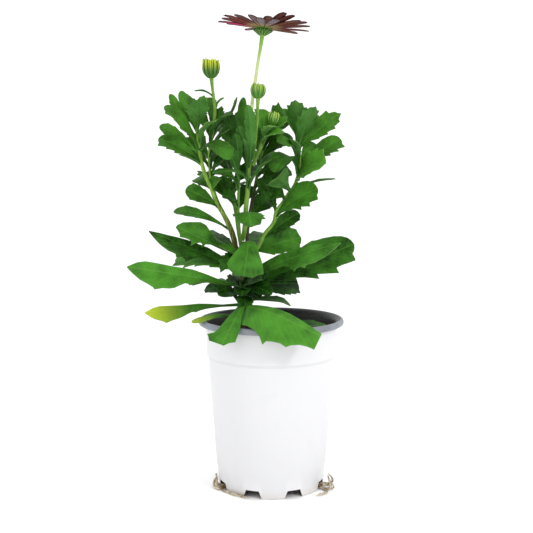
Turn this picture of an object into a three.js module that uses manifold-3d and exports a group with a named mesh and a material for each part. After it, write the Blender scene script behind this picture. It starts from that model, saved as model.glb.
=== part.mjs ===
// An osteospermum (African daisy) in its nursery pot. Millimetres, +Z up.
// The origin is the centre of the pot's underside, and the front of the plant faces -Y.
import * as THREE from 'three';
import { mergeVertices } from 'three/addons/utils/BufferGeometryUtils.js';
import Module from 'manifold-3d';

// ---------------------------------------------------------------- driving dimensions
const POT_HEIGHT = 126;
const RIM_RADIUS = 54; // outer edge of the rolled rim
const COLLAR_RADIUS = 48.8; // wall just under the rim
const COLLAR_BOTTOM = 98.5; // height of the small step below the collar
const BASE_RADIUS = 39.2; // outer edge of the foot
const WALL = 1.2;
const FLOOR = 1.4; // thickness of the pot's floor
const FLOOR_LIFT = 2.6; // the ring between pad and feet stands this far off the ground
const FOOT_COUNT = 8;
const NOTCH_WIDTH = 15; // drainage notch between two feet, along the ground
const NOTCH_HEIGHT = 5.6;
const FOOT_PHASE = 2; // degrees that the front foot is turned to the right
const POT_SEGMENTS = 32;

const SEAT = 0.35; // clearance between pieces that touch
const SLACK = 0.08; // edges shorter than this are drawn together where pieces are fused
const SOIL_TOP = 117;
const SOIL_SEGMENTS = 20;
const SOIL_LUMP = 0.7; // height of the lumps in the top of the mix
const STEM_HOLE_RADIUS = 3;
const STEM_HOLE_BOTTOM = 100;

const CROWN_RADIUS = [2.6, 2.3]; // woody base, at the soil and at the fork
const BRANCH_RADIUS = [1.5, 1.1];
const BLADE = 0.7; // leaf thickness
const SMALL_LEAF = 15; // leaves up to this wide are flat across, wider ones fold at the midrib
const PETIOLE_EXTRA = 0.9; // added to the thickness where the leaf leaves its stem

const RAY_WIDTH = 7.2;
const RAY_ROOT = 4; // radius at which a ray leaves the head
const HEAD_AT = [-6.6, -4, 331.8]; // where the flower stalk meets the calyx
const HEAD_LEAN = [-4, 5.5]; // degrees that the head leans back and to the right
const DISC_RADIUS = 5.4;

// ---------------------------------------------------------------- solids
const wasm = await Module();
wasm.setup();

const radians = THREE.MathUtils.degToRad;
const vec = (point) => new THREE.Vector3(...point);

// A repeatable draw between 0 and 1, the same for the same number.
function draw(number) {
  const value = Math.sin(number * 12.9898) * 43758.5453;
  return value - Math.floor(value);
}

// A closed three.js geometry becomes a solid that can be joined and cut.
function solid(geometry) {
  const bare = new THREE.BufferGeometry();
  bare.setAttribute('position', geometry.attributes.position.clone());
  bare.setIndex(geometry.index);
  const merged = mergeVertices(bare, 1e-4);
  return new wasm.Manifold(new wasm.Mesh({
    numProp: 3,
    vertProperties: new Float32Array(merged.attributes.position.array),
    triVerts: new Uint32Array(merged.index.array),
  }));
}

function toGeometry(body) {
  const mesh = body.getMesh();
  const geometry = new THREE.BufferGeometry();
  geometry.setAttribute('position', new THREE.BufferAttribute(mesh.vertProperties, 3));
  geometry.setIndex(new THREE.BufferAttribute(mesh.triVerts, 1));
  return geometry;
}

// Joined pieces become one body, and a hollow that the joining seals is filled.
function fuse(geometries) {
  const joined = wasm.Manifold.union(geometries.map(solid)).asOriginal().simplify(SLACK);
  const bodies = joined.decompose();
  bodies.sort((a, b) => b.volume() - a.volume());
  return toGeometry(bodies[0]);
}

function fromTriangles(points, triangles) {
  const geometry = new THREE.BufferGeometry();
  const flat = points.flatMap((point) => [point.x, point.y, point.z]);
  geometry.setAttribute('position', new THREE.Float32BufferAttribute(flat, 3));
  geometry.setIndex(triangles.flat());
  return geometry;
}

// A sheet given as rows of points gets its thickness. Both faces are split alike.
function thicken(rows, normals, thickness) {
  const across = rows[0].length;
  const count = rows.length * across;
  const points = [1, -1].flatMap((side) => rows.flatMap((row, i) => row.map(
    (point) => point.clone().addScaledVector(normals[i], side * thickness[i] / 2),
  )));
  const at = (i, j) => i * across + j;
  const [lastRow, lastColumn] = [rows.length - 1, across - 1];
  const triangles = [];
  for (let i = 0; i < lastRow; i += 1) {
    for (let j = 0; j < lastColumn; j += 1) {
      const [a, b, c, d] = [at(i, j), at(i + 1, j), at(i + 1, j + 1), at(i, j + 1)];
      const split = j < lastColumn / 2 ? [[a, b, d], [b, c, d]] : [[a, b, c], [a, c, d]];
      for (const [p, q, r] of split) {
        triangles.push([p, q, r], [p + count, r + count, q + count]);
      }
    }
  }
  const edge = [];
  for (let i = 0; i < lastRow; i += 1) {
    edge.push(at(i, 0));
  }
  for (let j = 0; j < lastColumn; j += 1) {
    edge.push(at(lastRow, j));
  }
  for (let i = lastRow; i > 0; i -= 1) {
    edge.push(at(i, lastColumn));
  }
  for (let j = lastColumn; j > 0; j -= 1) {
    edge.push(at(0, j));
  }
  edge.forEach((p, k) => {
    const q = edge[(k + 1) % edge.length];
    triangles.push([p, p + count, q], [q, p + count, q + count]);
  });
  return fromTriangles(points, triangles);
}

// A round tapering rod through hand-placed points, closed at both ends.
function rod(points, [startRadius, endRadius], sides, steps) {
  const curve = new THREE.CatmullRomCurve3(points.map(vec));
  const frames = curve.computeFrenetFrames(steps);
  const ring = [];
  for (let i = 0; i <= steps; i += 1) {
    const centre = curve.getPointAt(i / steps);
    const radius = THREE.MathUtils.lerp(startRadius, endRadius, i / steps);
    for (let k = 0; k < sides; k += 1) {
      const angle = 2 * Math.PI * k / sides;
      ring.push(centre.clone()
        .addScaledVector(frames.normals[i], radius * Math.cos(angle))
        .addScaledVector(frames.binormals[i], radius * Math.sin(angle)));
    }
  }
  const triangles = [];
  for (let i = 0; i < steps; i += 1) {
    for (let k = 0; k < sides; k += 1) {
      const [a, b] = [i * sides + k, i * sides + (k + 1) % sides];
      triangles.push([a, b, b + sides], [a, b + sides, a + sides]);
    }
  }
  const last = steps * sides;
  for (let k = 1; k < sides - 1; k += 1) {
    triangles.push([0, k + 1, k], [last, last + k, last + k + 1]);
  }
  return fromTriangles(ring, triangles);
}

// A turned solid: the profile runs from the axis round the section and back to the axis.
function turned(profile, segments) {
  const outline = profile.map(([radius, height]) => new THREE.Vector2(radius, height));
  return new THREE.LatheGeometry(outline, segments).rotateX(Math.PI / 2);
}

// ---------------------------------------------------------------- leaves
// Half widths of the left and right margin along a leaf, as shares of its half width:
// [share of length, left, right, how far the margin leans forward]. Teeth point to the tip.
const MARGINS = {
  plain: [
    [0, 0.16, 0.16, 0], [0.3, 0.43, 0.43, 0], [0.6, 0.98, 0.96, 0], [0.86, 0.9, 0.9, 0],
    [1, 0.2, 0.2, 0],
  ],
  saw: [
    [0, 0.16, 0.16, 0], [0.3, 0.42, 0.42, 0], [0.57, 1.12, 0.92, 0.02], [0.64, 0.94, 0.98, 0],
    [0.75, 1.22, 1, 0.02], [0.92, 1, 0.76, 0.01], [1, 0.12, 0.12, 0],
  ],
  notched: [
    [0, 0.16, 0.16, 0], [0.3, 0.42, 0.42, 0], [0.57, 1.12, 0.92, 0.02], [0.68, 0.96, 1.16, 0.02],
    [0.86, 0.88, 0.98, 0.01], [1, 0.14, 0.14, 0],
  ],
  toothed: [
    [0, 0.15, 0.15, 0], [0.28, 0.44, 0.44, 0], [0.54, 1.18, 0.95, 0.03], [0.62, 0.92, 1.18, 0.03],
    [0.71, 1.12, 0.86, 0.03], [0.84, 0.68, 0.8, 0.02], [1, 0.06, 0.06, 0],
  ],
  broad: [
    [0, 0.14, 0.14, 0], [0.2, 0.52, 0.52, 0], [0.5, 1.08, 0.95, 0.02], [0.6, 0.96, 1.12, 0.03],
    [0.7, 1.14, 0.98, 0.03], [0.88, 0.84, 0.72, 0.01], [1, 0.1, 0.1, 0],
  ],
  blunt: [
    [0, 0.15, 0.15, 0], [0.2, 0.3, 0.33, 0], [0.43, 1.02, 0.45, 0], [0.6, 1.06, 0.57, 0],
    [0.685, 1.38, 0.58, 0], [0.75, 1.16, 0.58, 0], [0.85, 1.13, 0.45, 0],
    [0.92, 0.82, 0.3, 0], [1, 0.64, 0.15, 0],
  ],
  stub: [
    [0, 0.15, 0.15, 0], [0.5, 0.18, 0.32, 0], [0.77, 0.42, 0.52, 0], [0.92, 0.52, 0.82, 0],
    [0.96, 0.4, 1.1, 0], [1, 0.1, 0.85, 0],
  ],
  tongue: [
    [0, 0.15, 0.15, 0], [0.3, 0.26, 0.26, 0], [0.5, 0.38, 0.38, 0], [0.72, 0.55, 0.52, 0],
    [0.86, 0.92, 0.88, 0], [0.96, 1, 0.96, 0], [1, 0.5, 0.5, 0],
  ],
  hooked: [
    [0, 0.16, 0.16, 0], [0.3, 0.16, 0.3, 0], [0.5, 0.2, 0.65, 0], [0.6, 0.74, 1.05, 0],
    [0.64, 0.4, 1.15, 0], [0.73, 1.02, 1.16, 0], [0.79, 0.6, 1.08, 0],
    [0.89, 0.76, 0.85, 0], [1, 0.1, 0.25, 0],
  ],
  serrate: [
    [0, 0.16, 0.16, 0], [0.3, 0.44, 0.42, 0], [0.56, 0.96, 0.9, 0], [0.78, 1.12, 1, 0.01],
    [0.93, 0.84, 0.74, 0.01], [1, 0.18, 0.18, 0],
  ],
  lopsided: [
    [0, 0.12, 0.12, 0], [0.2, 0.16, 0.12, 0], [0.37, 0.24, 0.42, 0], [0.6, 0.86, 0.46, 0],
    [0.72, 1.12, 0.46, 0], [0.785, 1.3, 0.5, 0], [0.9, 0.76, 0.42, 0], [1, 0.06, 0.06, 0],
  ],
  keen: [
    [0, 0.15, 0.15, 0], [0.23, 0.34, 0.5, 0], [0.45, 0.56, 0.68, 0], [0.56, 1.7, 0.63, 0],
    [0.61, 1.45, 0.62, 0], [0.66, 1.75, 0.6, 0], [0.75, 1.4, 0.48, 0], [0.88, 0.78, 0.26, 0],
    [1, 0.05, 0.05, 0],
  ],
};

// The place on a stem that is "at" points along it: 2.5 is halfway from point 2 to point 3.
function placeOn(stem, at) {
  const from = Math.min(Math.floor(at), stem.length - 2);
  return vec(stem[from]).lerp(vec(stem[from + 1]), at - from);
}

// One leaf: its midrib bows up by "lift" and sideways by "sway" on the way to the tip,
// "roll" turns the blade about it, "fold" raises its halves, "twist" winds it, and "flip"
// swaps its margins.
function leaf(stem, spec, mirrored) {
  const { at, tip, width, margin = 'toothed' } = spec;
  const { lift = 3, sway = 0, roll = 0, fold = 14, twist = 0 } = spec;
  const root = placeOn(stem, at);
  const end = vec(tip);
  const along = end.clone().sub(root).normalize();
  const side = new THREE.Vector3().crossVectors(along, new THREE.Vector3(0, 0, 1)).normalize();
  side.applyAxisAngle(along, radians(roll));
  const face = new THREE.Vector3().crossVectors(side, along);
  const bend = root.clone().lerp(end, 0.5)
    .addScaledVector(face, 2 * lift)
    .addScaledVector(side, 2 * sway);
  const midrib = new THREE.QuadraticBezierCurve3(root, bend, end);
  const rows = [];
  const normals = [];
  const thickness = [];
  for (const [share, left, right, lean] of MARGINS[margin]) {
    const tangent = midrib.getTangent(share);
    const across = side.clone().addScaledVector(tangent, -side.dot(tangent)).normalize();
    across.applyAxisAngle(tangent, radians(twist * share));
    const normal = new THREE.Vector3().crossVectors(across, tangent);
    const middle = midrib.getPoint(share);
    const forward = midrib.getPoint(Math.min(share + lean, 1));
    const [near, far] = mirrored ? [right, left] : [left, right];
    const marginPoint = (half, direction) => forward.clone()
      .addScaledVector(across, direction * half * width / 2 * Math.cos(radians(fold)))
      .addScaledVector(normal, half * width / 2 * Math.sin(radians(fold)));
    const margins = [marginPoint(near, 1), marginPoint(far, -1)];
    rows.push(width > SMALL_LEAF ? [margins[0], middle, margins[1]] : margins);
    normals.push(normal);
    thickness.push(BLADE + PETIOLE_EXTRA * Math.max(0, 1 - share / 0.35));
  }
  return thicken(rows, normals, thickness);
}

// A stem and all its leaves, as one solid.
function leafyStem({ points, radius, sides = 5, leaves }) {
  const steps = points.length;
  const blades = leaves.map((spec, i) => leaf(points, spec, (i % 2 === 1) !== Boolean(spec.flip)));
  return fuse([rod(points, radius, sides, steps), ...blades]);
}

// ---------------------------------------------------------------- materials and nodes
const plant = new THREE.Group();

function addNode(name, geometry, color, roughness = 0.6) {
  const material = new THREE.MeshStandardMaterial({ color, roughness, metalness: 0 });
  const mesh = new THREE.Mesh(geometry, material);
  mesh.name = name;
  plant.add(mesh);
  return mesh;
}

const LEAF_GREEN = '#3f7a2a';
const YOUNG_GREEN = '#79a83a';

// ---------------------------------------------------------------- pot
// A thin thermoformed shell: raised ring and centre pad in the floor, eight feet with
// drainage notches between them, a tapered wall, a collar step and a rolled rim.
function potProfile() {
  const inner = COLLAR_RADIUS - WALL;
  return [
    [0, 0], [23, 0], [25, FLOOR_LIFT], [35.4, FLOOR_LIFT], [36.6, 0], [BASE_RADIUS, 0],
    [47.3, COLLAR_BOTTOM - 0.3], [48.1, COLLAR_BOTTOM + 0.3], [COLLAR_RADIUS, 121.2],
    [52.8, 121.4], [RIM_RADIUS, 122.8], [RIM_RADIUS, 124.4], [52.6, POT_HEIGHT],
    [50.2, POT_HEIGHT], [48.4, 125], [inner, 121.8], [inner - 0.7, COLLAR_BOTTOM + 0.3],
    [46.1, COLLAR_BOTTOM - 0.3], [38, FLOOR_LIFT + FLOOR], [24.4, FLOOR_LIFT + FLOOR],
    [22.4, FLOOR], [0, FLOOR],
  ];
}

function notchCutter(index) {
  const shape = new THREE.Shape([
    new THREE.Vector2(-NOTCH_WIDTH / 2, -1),
    new THREE.Vector2(NOTCH_WIDTH / 2, -1),
    new THREE.Vector2(NOTCH_WIDTH / 2 - 2.5, NOTCH_HEIGHT),
    new THREE.Vector2(-NOTCH_WIDTH / 2 + 2.5, NOTCH_HEIGHT),
  ]);
  const reach = 13;
  const start = 6.5; // how far inside the foot's edge the cut begins
  const angle = radians((index + 0.5) * 360 / FOOT_COUNT + FOOT_PHASE);
  return new THREE.ExtrudeGeometry(shape, { depth: reach, bevelEnabled: false })
    .rotateX(Math.PI / 2)
    .translate(0, start - BASE_RADIUS, 0)
    .rotateZ(angle);
}

const shell = solid(turned(potProfile(), POT_SEGMENTS));
const notches = Array.from({ length: FOOT_COUNT }, (_, i) => solid(notchCutter(i)));
addNode('pot', toGeometry(shell.subtract(wasm.Manifold.union(notches))), '#f2f3f5', 0.35);

// ---------------------------------------------------------------- potting mix
// Fills the pot to 9 mm below the rim, with a lumpy top and a plain hole for the stem.
const SOIL_FLOOR = FLOOR_LIFT + FLOOR + SEAT;
const soilProfile = [
  [0, FLOOR + SEAT], [22, FLOOR + SEAT], [24, SOIL_FLOOR], [37.5, SOIL_FLOOR],
  [45.6, COLLAR_BOTTOM - 0.5], [46.6, SOIL_TOP - 1], [41, SOIL_TOP], [33, SOIL_TOP - 0.4],
  [24, SOIL_TOP + 0.3], [14, SOIL_TOP], [0, SOIL_TOP + 0.2],
];

function lumpyTop(geometry) {
  const { position } = geometry.attributes;
  for (let i = 0; i < position.count; i += 1) {
    const [x, y, z] = [position.getX(i), position.getY(i), position.getZ(i)];
    const onTop = z > SOIL_TOP - 0.6;
    const swell = Math.sin(x * 0.61 + 1.3) * Math.cos(y * 0.53 - 0.7);
    const lump = swell + 0.5 * Math.sin(x * 1.3 - y * 1.1);
    if (onTop) position.setZ(i, z + SOIL_LUMP * lump);
  }
  return geometry;
}

const CROWN_FOOT = [-22, 0];
const stemHoleDepth = 30;
const stemHole = new THREE.CylinderGeometry(STEM_HOLE_RADIUS, STEM_HOLE_RADIUS, stemHoleDepth, 12)
  .rotateX(Math.PI / 2)
  .translate(...CROWN_FOOT, STEM_HOLE_BOTTOM + stemHoleDepth / 2);
const soilBody = solid(lumpyTop(turned(soilProfile, SOIL_SEGMENTS))).subtract(solid(stemHole));
addNode('potting_mix', toGeometry(soilBody), '#2a1a12', 0.95);

// ---------------------------------------------------------------- stems and leaves
// Each stem is a list of points, and each leaf says where on the stem it grows ("at",
// counted in points) and where its tip is. The crown is the woody base; the branches
// start a hair clear of its bark.
const crown = {
  points: [
    [-22, 0, 100.4], [-22, 0, 118], [-21.8, 0, 132], [-21.3, 0, 147], [-21, 0, 160],
    [-21.2, 0, 172], [-21.5, 0, 183],
  ],
  radius: CROWN_RADIUS,
  sides: 8,
  leaves: [
    { at: 1.9, tip: [33.5, -63, 123.4], width: 31, margin: 'blunt',
      lift: 20, sway: 12, roll: 27, fold: -23 },
    { at: 1.9, tip: [-34.2, -56, 115.9], width: 26, margin: 'stub',
      lift: 15, sway: -8, roll: 2, fold: -8 },
    { at: 1.45, tip: [41, -12, 121.5], width: 15, margin: 'plain', lift: 0, roll: 6, fold: 6 },
    { at: 1.6, tip: [-57.5, -23, 126.2], width: 9, margin: 'plain', lift: 3.4, roll: -10, fold: -6 },
    { at: 2.3, tip: [-95, 4, 129], width: 16, margin: 'lopsided',
      lift: 0, roll: -24, fold: 8, twist: -40, flip: true },
    { at: 3.2, tip: [-103, -28, 167], width: 27, margin: 'lopsided', lift: 1, roll: -52, fold: 8 },
    { at: 4.1, tip: [-90, -4, 191], width: 18, margin: 'keen',
      lift: 0, roll: -48, fold: 12, flip: true },
    { at: 3.9, tip: [-72.2, 16, 168.5], width: 17, margin: 'saw', lift: 7, roll: -40, fold: 10 },
    { at: 5, tip: [-69.2, -13, 194.6], width: 20, margin: 'hooked',
      lift: 4, sway: -4, roll: -52, fold: 10, flip: true },
    { at: 2.8, tip: [-50, 12, 146], width: 12, margin: 'plain', lift: 3, roll: -40 },
    { at: 3.4, tip: [-19.1, -46, 162.6], width: 25, margin: 'tongue', lift: 28, sway: -4, fold: -14 },
    { at: 4.6, tip: [-37, -18, 162], width: 12, margin: 'toothed', lift: 7, roll: -20 },
    { at: 3.6, tip: [50.1, -20, 183.5], width: 21, margin: 'keen', lift: 3, roll: 44, fold: 10 },
    { at: 3.2, tip: [61.8, 5, 180.8], width: 28, margin: 'saw',
      lift: -2, roll: 52, fold: 12, flip: true },
    { at: 3.1, tip: [20.4, 14, 149.6], width: 24, margin: 'serrate', lift: 3, roll: 46 },
    { at: 2.4, tip: [15, 30, 131], width: 9, margin: 'plain', lift: 4, roll: 30 },
    { at: 2.6, tip: [-38, -24, 146], width: 13, margin: 'plain', lift: 4, roll: -30 },
    { at: 3.0, tip: [0, -28, 147], width: 13, margin: 'notched', lift: 5, roll: 30 },
    { at: 2.5, tip: [-18, -32, 136], width: 11, margin: 'plain', lift: 6 },
    { at: 2.2, tip: [-62, 50, 144], width: 20, margin: 'notched', lift: 9, roll: 5 },
    { at: 2.5, tip: [-18, 72, 140], width: 21, margin: 'broad', lift: 15, fold: 6 },
    { at: 2.9, tip: [34, 56, 152], width: 20, margin: 'notched', lift: 9 },
    { at: 4.0, tip: [-2, 66, 184], width: 17, margin: 'notched', lift: 8 },
    { at: 4.3, tip: [-58, 48, 186], width: 16, margin: 'notched', lift: 7 },
    { at: 3, tip: [-28.9, -26, 155.3], width: 12, margin: 'plain', lift: 5, roll: -20 },
    { at: 3.2, tip: [-6, -22, 157], width: 13, margin: 'saw', lift: 5, roll: 20 },
    { at: 2.7, tip: [-20.9, -33, 146.8], width: 12, margin: 'plain', lift: 6 },
    { at: 2.5, tip: [-8.2, -26, 143.7], width: 11, margin: 'plain', lift: 5, roll: 20 },
    { at: 3.5, tip: [-0.9, -12, 161.6], width: 12, margin: 'plain', lift: 4, roll: 40 },
    { at: 4.4, tip: [-38, -14, 180.9], width: 11, margin: 'toothed', lift: 3, roll: -40 },
    { at: 4.6, tip: [-35.4, -8, 171.5], width: 10, margin: 'toothed', lift: 3, roll: -30 },
    { at: 5, tip: [-6.8, -17, 187.6], width: 9, margin: 'plain', lift: 2, roll: 30 },
    { at: 2.6, tip: [-6.6, -48, 160.1], width: 13, margin: 'toothed', lift: 5, roll: 40 },
    { at: 2.6, tip: [-31.6, -48, 158], width: 13, margin: 'toothed', lift: 5, roll: -40 },
  ],
};

const leftStem = {
  points: [
    [-25, -0.5, 177], [-26.6, -1.2, 180], [-28.6, -2, 187], [-31, -3, 194], [-35, -5, 203],
    [-40, -6, 212], [-44, -7, 223], [-48, -7.5, 232], [-50.5, -8, 241], [-52, -8, 250],
    [-53, -8, 259], [-54, -8, 267],
  ],
  radius: [1.7, 1.3],
  leaves: [
    { at: 4.6, tip: [-62, -12, 222], width: 13, margin: 'plain', lift: 2, roll: -62, fold: 8 },
    { at: 2.7, tip: [-73, 12, 205], width: 9, margin: 'plain', lift: 6, roll: -45 },
    { at: 8, tip: [-81, -15, 258], width: 13, margin: 'saw', lift: 3, roll: -55, flip: true },
    { at: 7.8, tip: [-68, 4, 247], width: 6, margin: 'plain', lift: 1 },
    { at: 8.6, tip: [-81, -3, 268], width: 9, margin: 'plain', lift: 3, roll: -60 },
    { at: 9, tip: [-75.9, -23, 280.1], width: 16, margin: 'saw', lift: 3, roll: -50, fold: 12 },
    { at: 9.8, tip: [-73, -10, 290], width: 8, margin: 'notched', lift: -2, roll: -55 },
    { at: 10.2, tip: [-66, -1, 293], width: 8, margin: 'notched', lift: -1, roll: -60 },
    { at: 10.4, tip: [-49.4, -22, 286.7], width: 15, margin: 'toothed', lift: 3, roll: 10, fold: 10 },
    { at: 10.7, tip: [-59, -13, 289], width: 11, margin: 'toothed', lift: 1 },
    { at: 10.8, tip: [-49, 2, 290], width: 12, margin: 'toothed', lift: 2 },
    { at: 9, tip: [-29, -29, 243], width: 15, margin: 'plain', lift: 8, roll: 24 },
    { at: 6.6, tip: [-54, 6, 229], width: 10, margin: 'notched', lift: 2, roll: -40 },
    { at: 9.5, tip: [-39.4, -20, 270.4], width: 13, margin: 'plain', lift: 3, roll: 20 },
    { at: 5.6, tip: [-37.4, -6, 230], width: 12, margin: 'plain', lift: 3, roll: 30 },
  ],
};

const leftBackStem = {
  points: [
    [-24.1, 2.5, 171.4], [-25.6, 4, 175], [-27, 5.5, 184], [-30.5, 8.5, 194], [-36, 11, 204],
    [-41, 13, 214], [-44.5, 14, 226], [-46, 13.5, 238], [-46, 12, 250], [-44, 10, 261],
    [-42, 8, 272],
  ],
  radius: BRANCH_RADIUS,
  leaves: [
    { at: 8.2, tip: [-27.9, -2, 276.3], width: 15, margin: 'plain', lift: 6, roll: 30 },
    { at: 9.6, tip: [-25, 4, 289], width: 8, margin: 'plain', lift: -4, roll: 20 },
    { at: 5.4, tip: [-55.3, 30, 230.3], width: 13, margin: 'notched', lift: 4, roll: -40 },
    { at: 6.4, tip: [-31, 6, 246], width: 14, margin: 'plain', lift: 3, roll: 45 },
    { at: 7.6, tip: [-29.4, -2, 266.2], width: 15, margin: 'plain', lift: 3, roll: 40 },
    { at: 4.4, tip: [-52.6, 2, 229.9], width: 8, margin: 'notched', lift: 2, roll: -40 },
    { at: 6.2, tip: [-50, 40, 229], width: 15, margin: 'notched', lift: 4 },
    { at: 7.0, tip: [-68, 16, 258], width: 12, margin: 'notched', lift: 3, roll: -50 },
    { at: 7.6, tip: [-60, 32, 262], width: 14, margin: 'plain', lift: 3, roll: -40 },
    { at: 8.4, tip: [-42, 34, 272], width: 13, margin: 'notched', lift: 3 },
    { at: 9.0, tip: [-60, 14, 282], width: 12, margin: 'plain', lift: 2, roll: -40 },
    { at: 9.4, tip: [-46, 24, 290], width: 8, margin: 'notched', lift: 2 },
    { at: 6.9, tip: [-33.6, 10, 253.5], width: 14, margin: 'plain', lift: 3, roll: 30 },
    { at: 8.8, tip: [-36.8, 18, 283.3], width: 10, margin: 'toothed', lift: 1, roll: 20 },
  ],
};

const backStem = {
  points: [
    [-22.4, 3.7, 178.4], [-22.9, 5, 181.5], [-24.5, 8, 190], [-26, 13, 200], [-28, 18, 211],
    [-30, 23, 222], [-31, 27, 233], [-31, 29, 244], [-30, 30, 254],
  ],
  radius: BRANCH_RADIUS,
  leaves: [
    { at: 3.8, tip: [-42, 22, 229], width: 14, margin: 'saw', lift: 2, roll: -50 },
    { at: 4.4, tip: [-28, 56, 222], width: 16, margin: 'plain', lift: 5 },
    { at: 5.2, tip: [-6, 46, 236], width: 16, margin: 'notched', lift: 4, roll: 30 },
    { at: 6.0, tip: [-50, 56, 250], width: 15, margin: 'plain', lift: 4, roll: -30 },
    { at: 6.8, tip: [-30, 62, 256], width: 15, margin: 'notched', lift: 4 },
    { at: 6.3, tip: [-20, 18, 264], width: 15, margin: 'plain', lift: 3, roll: 30 },
    { at: 7.6, tip: [-42, 50, 272], width: 13, margin: 'notched', lift: 2 },
    { at: 7.8, tip: [-16, 40, 280], width: 12, margin: 'notched', lift: 2 },
    { at: 7.5, tip: [-31, 13, 277], width: 13, margin: 'plain', lift: 2 },
    { at: 4.7, tip: [-14, 18, 240], width: 14, margin: 'plain', lift: 3, roll: 40 },
    { at: 6.6, tip: [-25.1, 24, 259.8], width: 14, margin: 'plain', lift: 2, roll: 20 },
    { at: 5.5, tip: [-39.4, 22, 250], width: 14, margin: 'plain', lift: 3, roll: -40 },
    { at: 3.3, tip: [-15.4, 30, 223.4], width: 12, margin: 'notched', lift: 3, roll: 30 },
  ],
};

const innerStem = {
  points: [
    [-22.1, -3.6, 177.6], [-22.6, -5.2, 181], [-23.2, -7, 190], [-24, -8.5, 202], [-24, -9, 214],
    [-23.5, -9, 226], [-24, -8, 236],
  ],
  radius: [1.2, 0.9],
  leaves: [
    { at: 4.6, tip: [-40, -14, 233], width: 10, margin: 'plain', lift: 5, roll: -30 },
    { at: 5.2, tip: [-32, -20, 253], width: 11, margin: 'notched', lift: 2 },
    { at: 5.6, tip: [-34, 2, 252], width: 12, margin: 'plain', lift: 2 },
    { at: 5.8, tip: [-26, -12, 262], width: 8, margin: 'notched', lift: 2 },
    { at: 3.6, tip: [-35.6, -14, 217.1], width: 12, margin: 'saw', lift: 3, roll: -40 },
  ],
};

const centreStem = {
  points: [
    [-21.5, 0, 184.2], [-20, -2, 190], [-19, -3.5, 200], [-18.5, -4.5, 209], [-17.5, -5, 218],
    [-17, -5, 227], [-16.5, -5, 236], [-15.5, -5, 244], [-15, -5, 250],
  ],
  radius: [1.9, 1.5],
  leaves: [
    { at: 1.6, tip: [-14.3, -38, 196.2], width: 20, margin: 'broad', lift: 10, fold: -8 },
    { at: 6.2, tip: [-20, -14, 258.3], width: 14, margin: 'toothed', lift: 1, roll: -20 },
    { at: 6.2, tip: [-16.8, -18, 282], width: 8, margin: 'notched', lift: -5, sway: -3, roll: -10 },
    { at: 6.6, tip: [-20.2, 4, 288.8], width: 7, margin: 'notched', lift: 0, sway: -3, roll: -30 },
    { at: 7.0, tip: [-26, 10, 278], width: 7, margin: 'plain', lift: 1 },
    { at: 6.4, tip: [-35, 14, 264], width: 14, margin: 'notched', lift: 3, roll: -20 },
    { at: 4.3, tip: [0, -22, 243], width: 11, margin: 'notched', lift: 3, roll: 30 },
    { at: 5.4, tip: [-23, -15, 267], width: 11, margin: 'plain', lift: 2 },
    { at: 4.6, tip: [-42, -27, 233.7], width: 9, margin: 'plain', lift: 7, sway: -7, roll: -10 },
  ],
};

const rightBackStem = {
  points: [
    [-18.7, 2.9, 175.4], [-17.9, 4.2, 178.5], [-18, 6, 186], [-17, 9, 197], [-15, 12, 208],
    [-13, 15, 219], [-11, 18, 229], [-9, 20, 240], [-6, 21, 251], [-3, 21, 261],
  ],
  radius: BRANCH_RADIUS,
  leaves: [
    { at: 3.3, tip: [0, 24, 214], width: 16, margin: 'plain', lift: 4, roll: 45 },
    { at: 4.2, tip: [-4, 46, 214], width: 15, margin: 'plain', lift: 4 },
    { at: 5.4, tip: [14, 26, 236], width: 16, margin: 'plain', lift: 4, roll: 50 },
    { at: 6.6, tip: [6, 44, 248], width: 15, margin: 'notched', lift: 3, roll: 20 },
    { at: 7.4, tip: [15.8, 22, 260.5], width: 15, margin: 'notched', lift: 3, roll: 45 },
    { at: 6.9, tip: [-19, 12, 255], width: 12, margin: 'notched', lift: 2, roll: -30 },
    { at: 8.2, tip: [4, 36, 272], width: 13, margin: 'plain', lift: 2 },
    { at: 8.4, tip: [-14, 18, 276], width: 11, margin: 'notched', lift: 2 },
    { at: 8.6, tip: [6, 14, 284], width: 13, margin: 'saw', lift: 2, roll: 20 },
    { at: 7.9, tip: [14, 12, 271], width: 14, margin: 'notched', lift: 3, roll: 45 },
    { at: 4.8, tip: [8.2, 18, 225.9], width: 13, margin: 'plain', lift: 4, roll: 50 },
    { at: 6.2, tip: [14.2, 18, 243.2], width: 14, margin: 'plain', lift: 3, roll: 45 },
    { at: 7.2, tip: [-6.8, 12, 268.3], width: 13, margin: 'plain', lift: 2 },
  ],
};

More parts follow.
